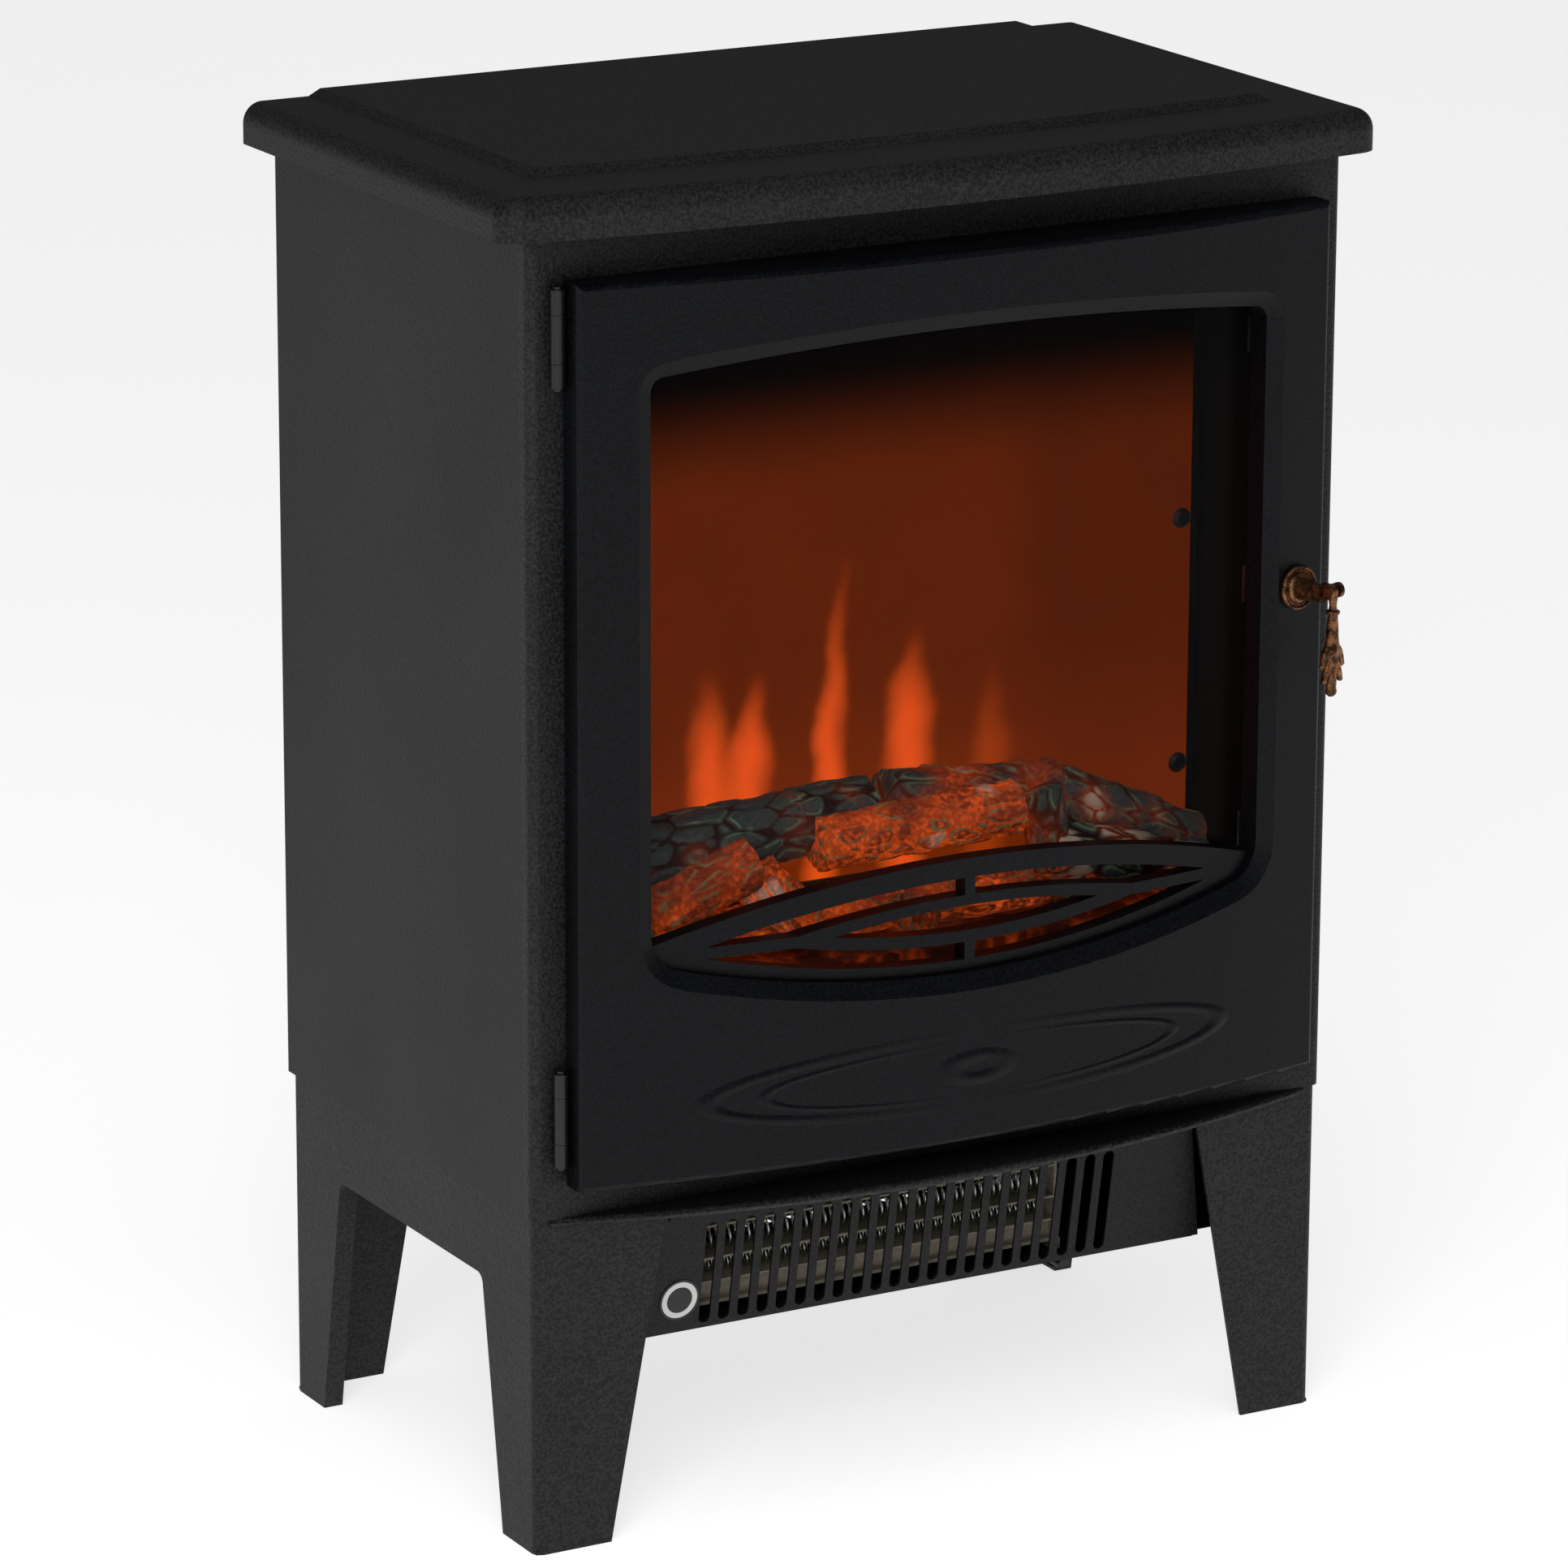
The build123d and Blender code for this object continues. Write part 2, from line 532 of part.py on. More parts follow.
# ---------------------------------------------------------------- handle
PIVOT_OUT = 22.7          # pivot of the hanging drop, out from the door
PIVOT_UP = 2.8            # and up from the rosette's middle
SHANK_RADIUS = 2.0
DROP_PIN_RADIUS = 1.2
DROP_BORE = DROP_PIN_RADIUS + 0.05
EAR_X = 2.9               # the post's two ears, either side of the drop
EAR_THICKNESS = 1.6
POST_BASE = 3.8           # top of the rosette

with BuildPart(handle_plane) as handle_rosette:
    with Locations((0, 0, 0.1)):
        Cylinder(10, 1.8, align=FROM_BELOW)
    with Locations((0, 0, 1.9)):
        Torus(8.9, 1.0)
        Cone(7.4, 5.4, 1.9, align=FROM_BELOW)
    Cylinder(SHANK_RADIUS + 0.1, 20, mode=Mode.SUBTRACT)
save(handle_rosette.part, "handle_rosette")

with BuildPart(handle_plane) as handle_post:
    with Locations((0, 0, POST_BASE)):
        Cone(5.2, 3.6, 13.7, align=FROM_BELOW)
    for side in (-1, 1):
        with Locations(Location((side * EAR_X, PIVOT_UP, PIVOT_OUT), (0, 90, 0))):
            Cylinder(3.3, EAR_THICKNESS)
        with Locations((side * EAR_X, PIVOT_UP / 2, PIVOT_OUT - 5.4)):
            Box(EAR_THICKNESS, 5.6, 7.4)
    with Locations(Location((0, PIVOT_UP, PIVOT_OUT), (0, 90, 0))):
        Cylinder(DROP_BORE, 12, mode=Mode.SUBTRACT)
    with Locations((0, 0, POST_BASE)):
        Cylinder(SHANK_RADIUS + 0.05, 7, align=FROM_BELOW, mode=Mode.SUBTRACT)
save(handle_post.part, "handle_post")

with BuildPart(handle_plane) as handle_screw:
    with Locations((0, 0, -2.8)):
        Cylinder(SHANK_RADIUS, 12, align=FROM_BELOW)
        Cylinder(4, 2.4, align=FROM_ABOVE)
save(handle_screw.part, "handle_screw")

with BuildPart(handle_plane) as handle_pin:
    with Locations(Location((0, PIVOT_UP, PIVOT_OUT), (0, 90, 0))):
        Cylinder(DROP_PIN_RADIUS, 8.2)
    for side in (-1, 1):
        with Locations(Location((side * 4.2, PIVOT_UP, PIVOT_OUT), (0, 90, 0))):
            Cylinder(1.9, 0.9)
save(handle_pin.part, "handle_pin")

# the drop's sections below the pivot: (distance down, half width, half thickness)
DROP_SECTIONS = (
    (5.0, 1.6, 1.6),
    (16.0, 2.6, 2.2),
    (27.0, 4.8, 3.0),
    (38.0, 8.8, 4.0),
    (44.0, 8.0, 3.8),
    (50.0, 5.0, 2.4),
)

with BuildPart() as handle_drop:
    for down, half_width, half_thick in DROP_SECTIONS:
        level = handle_plane.location * Location((0, PIVOT_UP - down, PIVOT_OUT))
        with BuildSketch(Plane(level).rotated((90, 0, 0))):
            Ellipse(half_width, half_thick)
    loft()
    with Locations(handle_plane.location * Location((0, PIVOT_UP, PIVOT_OUT), (0, 90, 0))):
        Cylinder(3.0, 3.4)
    with Locations(handle_plane.location * Location((0, PIVOT_UP - 4, PIVOT_OUT))):
        Box(2.6, 4, 2.6)
    with Locations(handle_plane.location * Location((0, PIVOT_UP, PIVOT_OUT), (0, 90, 0))):
        Cylinder(DROP_BORE, 12, mode=Mode.SUBTRACT)
save(handle_drop.part, "handle_drop")

# ---------------------------------------------------------------- catch
with BuildPart() as magnet_catch:
    catch_x = (CATCH_X - 5.8, CATCH_X + 5.8)
    ear_y = (FRONT + HEAVY_SHEET, FRONT + HEAVY_SHEET + 2)
    block(catch_x, (FRONT - 0.8, FRONT + 14), (CATCH_Z - 15.8, CATCH_Z + 15.8))
    block(catch_x, ear_y, (CATCH_Z - 24, CATCH_Z + 24))
save(magnet_catch.part, "magnet_catch")

with BuildPart() as strike_plate:
    block((CATCH_X - 6, CATCH_X + 6), (DOOR_BACK, DOOR_BACK + 1), (CATCH_Z - 14, CATCH_Z + 14))
save(strike_plate.part, "strike_plate")

# ---------------------------------------------------------------- firebox
LINER_HALF = 164.0
LINER_Y = (FRONT + FRAME_DEPTH + GAP, FRONT + 170.0)
LINER_Z = (222.0, 550.0)
LINER_WALL = 1.0
LINER_INSIDE = LINER_HALF - LINER_WALL
SCREEN_Y = (FRONT + 56.0, FRONT + 58.0)
SCREEN_HALF = 158.5
SCREEN_BOTTOM = 262.0
RIVET_X = 154.0
RIVET_HEIGHTS = (290.0, 401.0)
RIVET_SHANK = 2.0
RIVET_HOLE = RIVET_SHANK + 0.1

with BuildPart() as firebox_liner:
    block((-LINER_HALF, LINER_HALF), LINER_Y, LINER_Z)
    block(
        (-LINER_INSIDE, LINER_INSIDE),
        (LINER_Y[0] - 1, LINER_Y[1] + 1),
        (LINER_Z[0] + LINER_WALL, LINER_Z[1] - LINER_WALL),
        mode=Mode.SUBTRACT,
    )
    # folded tabs that carry the flame screen
    tab_hole_y = (SCREEN_Y[1] - 1, SCREEN_Y[1] + 3)
    for side in (-1, 1):
        tab_x = sorted((side * 149, side * (LINER_HALF - LINER_WALL / 2)))
        block(tab_x, (SCREEN_Y[1], SCREEN_Y[1] + SHEET), (SCREEN_BOTTOM + 6, 540))
        for height in RIVET_HEIGHTS:
            rod_y(side * RIVET_X, tab_hole_y, height, RIVET_HOLE, mode=Mode.SUBTRACT)
save(firebox_liner.part, "firebox_liner")

with BuildPart() as flame_screen:
    block((-SCREEN_HALF, SCREEN_HALF), SCREEN_Y, (SCREEN_BOTTOM, 545))
    fillet(flame_screen.edges().filter_by(Axis.Y), 6)
    screen_hole_y = (SCREEN_Y[0] - 1, SCREEN_Y[1] + 1)
    for side in (-1, 1):
        for height in RIVET_HEIGHTS:
            rod_y(side * RIVET_X, screen_hole_y, height, RIVET_HOLE, mode=Mode.SUBTRACT)
save(flame_screen.part, "flame_screen")

with BuildPart() as screen_rivets:
    for side in (-1, 1):
        for height in RIVET_HEIGHTS:
            rod_y(side * RIVET_X, (SCREEN_Y[0], SCREEN_Y[1] + 4), height, RIVET_SHANK)
            with Locations(Location((side * RIVET_X, SCREEN_Y[0], height), (90, 0, 0))):
                Cone(4.6, 3.0, 2.2, align=FROM_BELOW)
save(screen_rivets.part, "screen_rivets")

BED = ((-156.0, 156.0), (FRONT + 12.0, FRONT + 54.0), (LINER_Z[0] + LINER_WALL, 239.9))
with BuildPart() as ember_bed:
    block(*BED)
    fillet(ember_bed.faces().sort_by(Axis.Z)[-1].edges(), 4)
save(ember_bed.part, "ember_bed")

# each log: middle of one end, middle of the other (Y counted from the front), and its two end radii
LOGS = (
    ((-148.0, 36.0, 290.0), (-14.0, 38.0, 297.0), 15.5, 15.0),
    ((-6.0, 38.0, 298.0), (80.0, 38.0, 291.0), 15.0, 14.5),
    ((76.0, 37.0, 292.0), (149.0, 33.0, 262.0), 14.0, 11.5),
    ((-148.0, 24.0, 261.0), (-79.0, 24.0, 286.0), 13.0, 12.5),
    ((-48.0, 24.0, 289.0), (52.0, 24.0, 292.0), 12.5, 12.4),
    ((63.0, 25.0, 299.0), (72.0, 23.0, 262.0), 10.0, 10.5),
    ((66.0, 24.0, 272.0), (147.0, 25.0, 254.0), 12.0, 10.5),
    ((-78.0, 27.0, 280.0), (-52.0, 26.0, 252.0), 12.0, 11.9),
    ((1.0, 16.0, 251.0), (1.0, 44.0, 251.0), 10.5, 10.4),
    ((-148.0, 36.0, 251.5), (148.0, 36.0, 251.5), 10.6, 10.5),
    ((79.0, 18.0, 249.5), (79.0, 44.0, 252.0), 9.0, 9.1),
)
with BuildPart() as log_set:
    for start, end, start_radius, end_radius in LOGS:
        here = Vector(start[0], FRONT + start[1], start[2])
        there = Vector(end[0], FRONT + end[1], end[2])
        with Locations(Plane(origin=here, z_dir=there - here).location):
            # a cone needs two different radii, so level logs taper by a hundredth
            Cone(start_radius, end_radius + 0.01, (there - here).length, align=FROM_BELOW)
save(log_set.part, "log_set")

# ---------------------------------------------------------------- moving-flame works
ROTOR_Y = FRONT + 92.0
ROTOR_Z = 268.0
SPINDLE_RADIUS = 2.0
SPINDLE_BORE = SPINDLE_RADIUS + 0.05
MOTOR_X = (137.0, 162.9)
FLAME_VANES = 7
FIRST_VANE_X = -120.0
VANE_STEP = 39.0
VANE_TURN = 51.0          # each vane is turned on from the last, so the flicker wanders

with BuildPart() as flame_rotor:
    rod_x((-158, MOTOR_X[0] + 5), ROTOR_Y, ROTOR_Z, SPINDLE_RADIUS)
    for index in range(FLAME_VANES):
        vane_x = FIRST_VANE_X + index * VANE_STEP
        with Locations(Location((vane_x, ROTOR_Y, ROTOR_Z), (index * VANE_TURN, 0, 0))):
            Box(24, 32, 0.8)
save(flame_rotor.part, "flame_rotor")

with BuildPart() as rotor_bush:
    block((-LINER_INSIDE, -153), (ROTOR_Y - 7, ROTOR_Y + 7), (ROTOR_Z - 9, ROTOR_Z + 9))
    rod_x((-160, -150), ROTOR_Y, ROTOR_Z, SPINDLE_BORE, mode=Mode.SUBTRACT)
save(rotor_bush.part, "rotor_bush")

with BuildPart() as rotor_motor:
    rod_x(MOTOR_X, ROTOR_Y, ROTOR_Z, 21)
    plate_x = (LINER_INSIDE - 2, LINER_INSIDE)
    block(plate_x, (ROTOR_Y - 26, ROTOR_Y + 26), (ROTOR_Z - 10, ROTOR_Z + 10))
    rod_x((MOTOR_X[0] - 1, MOTOR_X[0] + 7), ROTOR_Y, ROTOR_Z, SPINDLE_BORE, mode=Mode.SUBTRACT)
save(rotor_motor.part, "rotor_motor")

with BuildPart() as rear_reflector:
    block((-LINER_INSIDE, LINER_INSIDE), (FRONT + 128, FRONT + 129), (LINER_Z[0] + LINER_WALL, 540))
    with BuildSketch(Plane.XZ.offset(-FRONT - 130)):
        with Locations((0, 360)):
            with GridLocations(42, 1, 7, 1):
                Ellipse(9, 62)
    extrude(amount=4, mode=Mode.SUBTRACT)
save(rear_reflector.part, "rear_reflector")

BOARD_Y = FRONT + 68.0
BOARD_Z = LINER_Z[0] + LINER_WALL
with BuildPart() as led_board:
    block((-125, 125), (BOARD_Y - 6, BOARD_Y + 6), (BOARD_Z, BOARD_Z + 1.6))
save(led_board.part, "led_board")

with BuildPart() as led_lamps:
    with Locations((0, BOARD_Y, BOARD_Z + 2.6)):
        with GridLocations(22, 1, 11, 1):
            Box(5, 5, 2)
save(led_lamps.part, "led_lamps")

# ---------------------------------------------------------------- controls behind the door's apron
CONTROL_Z = 202.0
ROCKERS = (("flame_rocker", -52.0), ("low_heat_rocker", -30.0), ("high_heat_rocker", -8.0))
KNOB_X = 38.0
ROCKER_PIVOT_Y = FRONT - 1.0
ROCKER_PIVOT_RADIUS = 1.0
ROCKER_TILT = 7.0         # off: the upper half stands out by this many degrees


def tall_block(x, half_width, y, half_height, mode=Mode.ADD):
    """A box centred on a switch, given by its half sizes."""
    block((x - half_width, x + half_width), y, (CONTROL_Z - half_height, CONTROL_Z + half_height), mode)


with BuildPart() as control_plate:
    block((-74, 74), (FRONT - 1.5, FRONT), (177, 227))
    fillet(control_plate.edges().filter_by(Axis.Y), 3)
    for _, x in ROCKERS:
        tall_block(x, 6.5, (FRONT - 3, FRONT + 1), 10.5, mode=Mode.SUBTRACT)
    rod_y(KNOB_X, (FRONT - 3, FRONT + 1), CONTROL_Z, 4.2, mode=Mode.SUBTRACT)
save(control_plate.part, "control_plate")

with BuildPart() as switch_housings:
    for _, x in ROCKERS:
        tall_block(x, 6.3, (FRONT - 2.7, FRONT + 16), 10.3)
        tall_block(x, 8, (FRONT - 2.7, FRONT - 1.5), 12.5)
        tall_block(x, 5.3, (FRONT - 4, FRONT + 5), 9.5, mode=Mode.SUBTRACT)
        rod_x((x - 6.1, x + 6.1), ROCKER_PIVOT_Y, CONTROL_Z, ROCKER_PIVOT_RADIUS + 0.06, mode=Mode.SUBTRACT)
save(switch_housings.part, "switch_housings")

for rocker_name, rocker_x in ROCKERS:
    with BuildPart() as rocker:
        with Locations(Location((rocker_x, ROCKER_PIVOT_Y, CONTROL_Z), (ROCKER_TILT, 0, 0))):
            Box(10.2, 5.4, 17.2)
        fillet(rocker.edges().filter_by(Axis.X), 0.6)
        rod_x((rocker_x - 6, rocker_x + 6), ROCKER_PIVOT_Y, CONTROL_Z, ROCKER_PIVOT_RADIUS)
    save(rocker.part, rocker_name)

SPINDLE = 3.0
with BuildPart() as thermostat_body:
    block((KNOB_X - 13, KNOB_X + 13), (FRONT, FRONT + 15), (CONTROL_Z - 13, CONTROL_Z + 13))
    rod_y(KNOB_X, (FRONT - 4, FRONT), CONTROL_Z, 4.0)
    rod_y(KNOB_X, (FRONT - 5, FRONT + 10), CONTROL_Z, SPINDLE + 0.05, mode=Mode.SUBTRACT)
save(thermostat_body.part, "thermostat_body")

with BuildPart() as thermostat_knob:
    rod_y(KNOB_X, (FRONT - 14, FRONT - 5), CONTROL_Z, 11.5)
    fillet(thermostat_knob.faces().sort_by(Axis.Y)[0].edges(), 1.5)
    block((KNOB_X - 2, KNOB_X + 2), (FRONT - 17, FRONT - 13), (CONTROL_Z - 10, CONTROL_Z + 10))
    rod_y(KNOB_X, (FRONT - 6, FRONT + 8), CONTROL_Z, SPINDLE)
save(thermostat_knob.part, "thermostat_knob")

# ---------------------------------------------------------------- fan heater
PANEL_TOP = (FRONT + 3.6, PLINTH_HEIGHT - 2.4)      # (y, z) of the outlet panel's upper edge
PANEL_BOTTOM = (FRONT + 14.6, 84.0)
PANEL_THICKNESS = 1.2
SLOT_COUNT = 22
SLOT_PITCH = 9.43
SLOT_WIDTH = 5.5
SLOT_HEIGHT = 48.5
FIRST_SLOT_X = -107.2
SLOT_CENTRE_Z = 110.0

PANEL_TILT = math.atan2(PANEL_BOTTOM[0] - PANEL_TOP[0], PANEL_TOP[1] - PANEL_BOTTOM[1])
PANEL_HEIGHT = math.dist(PANEL_TOP, PANEL_BOTTOM)
PANEL_MIDDLE = ((PANEL_TOP[0] + PANEL_BOTTOM[0]) / 2, (PANEL_TOP[1] + PANEL_BOTTOM[1]) / 2)
panel_plane = Plane(
    origin=(0, PANEL_MIDDLE[0], PANEL_MIDDLE[1]),
    x_dir=(1, 0, 0),
    z_dir=(0, -math.cos(PANEL_TILT), -math.sin(PANEL_TILT)),
)


def on_panel(z):
    """How far up the tilted panel a height is, from its middle."""
    return (z - PANEL_MIDDLE[1]) / math.cos(PANEL_TILT)


def leg_edge(z):
    """Half the space between the front legs at a height."""
    return LEG_FOOT_X - (LEG_FOOT_X - LEG_TOP_X) * z / PLINTH_HEIGHT


with BuildPart() as outlet_panel:
    with BuildSketch(panel_plane):
        with BuildLine():
            low = leg_edge(PANEL_BOTTOM[1]) - GAP
            high = leg_edge(PANEL_TOP[1]) - GAP
            rise = PANEL_HEIGHT / 2
            Polyline((-low, -rise), (low, -rise), (high, rise), (-high, rise), close=True)
        make_face()
        for index in range(SLOT_COUNT):
            with Locations((FIRST_SLOT_X + index * SLOT_PITCH, on_panel(SLOT_CENTRE_Z))):
                SlotOverall(SLOT_HEIGHT, SLOT_WIDTH, rotation=90, mode=Mode.SUBTRACT)
    extrude(amount=-PANEL_THICKNESS)
    block((-140, 140), (FRONT + 14.6, FRONT + 24), (PANEL_BOTTOM[1] - 0.2, PANEL_BOTTOM[1] + 1.0))
save(outlet_panel.part, "outlet_panel")

STICKER_X = -120.4
STICKER_Z = 99.3
with BuildPart() as round_sticker:
    with BuildSketch(panel_plane):
        with Locations((STICKER_X, on_panel(STICKER_Z))):
            Circle(9.6)
    extrude(amount=0.4)
save(round_sticker.part, "round_sticker")

with BuildPart() as cable_clip:
    block((71, 77), (FRONT + 15.5, FRONT + 23), (80.2, PANEL_BOTTOM[1] - 0.2))
    chamfer(cable_clip.edges().filter_by(Axis.Y).sort_by(Axis.X)[0:1], 2)
save(cable_clip.part, "cable_clip")

BOX_HALF = 158.0
BOX_Y = (FRONT + 18.0, FRONT + 190.0)
BOX_Z = (PANEL_BOTTOM[1] + 1.0, PLINTH_HEIGHT - SHEET)
with BuildPart() as heater_box:
    block((-BOX_HALF, BOX_HALF), BOX_Y, BOX_Z)
    block(
        (-BOX_HALF + 1, BOX_HALF - 1),
        (BOX_Y[0] - 1, BOX_Y[1] - 1),
        (BOX_Z[0] + 1, BOX_Z[1] + 1),
        mode=Mode.SUBTRACT,
    )
    # air intake slots in the floor of the box
    with BuildSketch(Plane.XY.offset(BOX_Z[0] - 1)):
        with Locations((0, FRONT + 140)):
            with GridLocations(12, 1, 18, 1):
                SlotOverall(50, 4.5, rotation=90)
    extrude(amount=3, mode=Mode.SUBTRACT)
save(heater_box.part, "heater_box")

ELEMENT_X = (-113.0, 75.0)
ELEMENT_Y = (FRONT + 24.0, FRONT + 42.0)
ELEMENT_Z = (90.0, 134.0)
CARD_HEIGHTS = (100.0, 110.5, 125.0)
with BuildPart() as element_frame:
    block(ELEMENT_X, ELEMENT_Y, ELEMENT_Z)
    block(
        (ELEMENT_X[0] + 1.5, ELEMENT_X[1] - 1.5),
        (ELEMENT_Y[0] - 1, ELEMENT_Y[1] + 1),
        (ELEMENT_Z[0] + 1.5, ELEMENT_Z[1] - 1.5),
        mode=Mode.SUBTRACT,
    )
    for height in CARD_HEIGHTS:
        block((ELEMENT_X[0] + 1, ELEMENT_X[1] - 1), ELEMENT_Y, (height - 0.5, height + 0.5))
    # a shield across the lower front, and feet to the floor of the heater box
    shield_y = (ELEMENT_Y[0] + 4, ELEMENT_Y[0] + 5)
    block((ELEMENT_X[0] + 1, ELEMENT_X[1] - 1), shield_y, (ELEMENT_Z[0] + 1, CARD_HEIGHTS[0]))
    for x in ELEMENT_X:
        block((x - 2, x + 2), ELEMENT_Y, (BOX_Z[0] + 1, ELEMENT_Z[0] + 1))
save(element_frame.part, "element_frame")

# three windings, one between each pair of boards: (height of the middle, radius)
WINDINGS = ((105.2, 3.8), (117.7, 5.8), (129.0, 2.8))
with BuildPart() as heating_coil:
    for height, radius in WINDINGS:
        rod_x((ELEMENT_X[0] + 1.6, ELEMENT_X[1] - 1.6), middle(ELEMENT_Y), height, radius)
save(heating_coil.part, "heating_coil")

with BuildPart() as thermal_cutout:
    rod_z(40, middle(ELEMENT_Y), (ELEMENT_Z[1], ELEMENT_Z[1] + 6), 8)
save(thermal_cutout.part, "thermal_cutout")

FAN_Y = FRONT + 92.0
FAN_Z = 117.0
FAN_X = (-110.0, 78.0)
FAN_RADIUS = 20.0
FAN_BLADES = 16
FAN_DISCS = 4
FAN_DISC_THICKNESS = 1.2
FAN_SHAFT_RADIUS = 2.5
FAN_BORE = FAN_SHAFT_RADIUS + 0.05
with BuildPart() as blower_rotor:
    disc_step = (FAN_X[1] - FAN_X[0] - FAN_DISC_THICKNESS) / (FAN_DISCS - 1)
    for index in range(FAN_DISCS):
        disc_x = FAN_X[0] + index * disc_step
        rod_x((disc_x, disc_x + FAN_DISC_THICKNESS), FAN_Y, FAN_Z, FAN_RADIUS)
    for index in range(FAN_BLADES):
        turn = index * 360 / FAN_BLADES
        hub = Location((middle(FAN_X), FAN_Y, FAN_Z), (turn, 0, 0))
        with Locations(hub * Location((0, 0, FAN_RADIUS - 4), (28, 0, 0))):
            Box(FAN_X[1] - FAN_X[0], 0.8, 6.4)
    rod_x((FAN_X[0] - 12, FAN_X[0] + 1), FAN_Y, FAN_Z, FAN_SHAFT_RADIUS)
    rod_x((FAN_X[1] - 1, FAN_X[1] + 14), FAN_Y, FAN_Z, FAN_SHAFT_RADIUS)
save(blower_rotor.part, "blower_rotor")

SCROLL_RADIUS = 27.5
with BuildPart() as blower_scroll:
    rod_x((FAN_X[0] - 6, FAN_X[1] + 6), FAN_Y, FAN_Z, SCROLL_RADIUS)
    rod_x((FAN_X[0] - 5, FAN_X[1] + 5), FAN_Y, FAN_Z, SCROLL_RADIUS - 1, mode=Mode.SUBTRACT)
    # outlet towards the element, intake at the lower back
    span_x = (FAN_X[0] - 5, FAN_X[1] + 5)
    block(span_x, (FAN_Y - 40, FAN_Y - 6), (FAN_Z - 14, FAN_Z + 14), mode=Mode.SUBTRACT)
    block(span_x, (FAN_Y + 6, FAN_Y + 40), (FAN_Z - 40, FAN_Z - 4), mode=Mode.SUBTRACT)
    rod_x((FAN_X[0] - 7, FAN_X[1] + 7), FAN_Y, FAN_Z, FAN_BORE, mode=Mode.SUBTRACT)
    # feet to the floor of the box
    for x in (FAN_X[0] - 6, FAN_X[1] + 5):
        block((x, x + 1), (FAN_Y - 12, FAN_Y + 4), (BOX_Z[0] + 1, FAN_Z - SCROLL_RADIUS + 4))
save(blower_scroll.part, "blower_scroll")

BLOWER_MOTOR_X = (FAN_X[1] + 7.0, FAN_X[1] + 45.0)
with BuildPart() as blower_motor:
    rod_x(BLOWER_MOTOR_X, FAN_Y, FAN_Z, 22)
    motor_hole = (BLOWER_MOTOR_X[0] - 1, BLOWER_MOTOR_X[0] + 9)
    rod_x(motor_hole, FAN_Y, FAN_Z, FAN_BORE, mode=Mode.SUBTRACT)
    block(BLOWER_MOTOR_X, (FAN_Y - 15, FAN_Y + 15), (BOX_Z[0] + 1, FAN_Z - 15))
save(blower_motor.part, "blower_motor")

# ---------------------------------------------------------------- cord inlet
GLAND_REACH = 5.0
GLAND_BORE = 3.6
with BuildPart() as cord_gland:
    rod_y(GLAND_X, (BACK - 9, BACK + 1), GLAND_Z, GLAND_RADIUS - 0.1)
    rod_y(GLAND_X, (BACK, BACK + GLAND_REACH), GLAND_Z, 10)
    rod_y(GLAND_X, (BACK - 10, BACK + GLAND_REACH + 1), GLAND_Z, GLAND_BORE, mode=Mode.SUBTRACT)
save(cord_gland.part, "cord_gland")

whole = Compound(children=finished).bounding_box()
print(f"{len(finished)} pieces, from {whole.min} to {whole.max}")
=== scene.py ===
# %% [markdown]
# The object is a small stove-shaped electric fire. Its sheet metal, hinges and motors come from the
# engineering model, already in place. This script gives every piece its finish, models again the pieces
# that are cast, wound or painted by hand, and then sets up the camera and lights.

# %% Load the frame
import json
import math

import bmesh
import bpy
from mathutils import Matrix, Vector, noise


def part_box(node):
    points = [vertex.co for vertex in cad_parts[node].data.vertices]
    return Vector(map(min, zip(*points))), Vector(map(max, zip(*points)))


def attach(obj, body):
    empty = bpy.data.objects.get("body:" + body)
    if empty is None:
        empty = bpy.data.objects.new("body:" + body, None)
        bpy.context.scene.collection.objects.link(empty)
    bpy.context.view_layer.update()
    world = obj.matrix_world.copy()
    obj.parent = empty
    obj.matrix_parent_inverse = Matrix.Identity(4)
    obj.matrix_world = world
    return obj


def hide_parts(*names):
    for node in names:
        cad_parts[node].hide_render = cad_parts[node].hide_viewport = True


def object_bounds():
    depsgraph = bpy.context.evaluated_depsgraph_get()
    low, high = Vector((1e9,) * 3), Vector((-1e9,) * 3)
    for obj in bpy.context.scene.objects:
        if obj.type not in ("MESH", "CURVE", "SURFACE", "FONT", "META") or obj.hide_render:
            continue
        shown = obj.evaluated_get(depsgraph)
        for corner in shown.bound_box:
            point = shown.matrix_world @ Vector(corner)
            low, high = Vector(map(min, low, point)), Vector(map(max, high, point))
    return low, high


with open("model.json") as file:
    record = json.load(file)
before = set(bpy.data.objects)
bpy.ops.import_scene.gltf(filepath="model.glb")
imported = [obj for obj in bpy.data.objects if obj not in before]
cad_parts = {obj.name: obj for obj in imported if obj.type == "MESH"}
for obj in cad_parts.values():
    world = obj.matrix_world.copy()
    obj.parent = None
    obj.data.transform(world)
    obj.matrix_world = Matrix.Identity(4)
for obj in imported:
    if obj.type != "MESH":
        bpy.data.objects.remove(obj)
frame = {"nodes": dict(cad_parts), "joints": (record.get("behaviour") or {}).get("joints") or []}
CAD_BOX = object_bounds()
MM = 0.001
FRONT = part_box("front_frame")[0].y
print("front face of the cabinet at y", round(FRONT, 4))

# %% [markdown]
# A finish is a small graph of nodes. Wiring each node by hand hides the idea, so one class wraps a
# socket and lets Python's own signs add the Math nodes, and another holds the material and makes any
# other node. A sum such as 1 - mask then reads as a sum. Each finished material is kept under its name.

# %% Shader helpers
FINISHES = {}


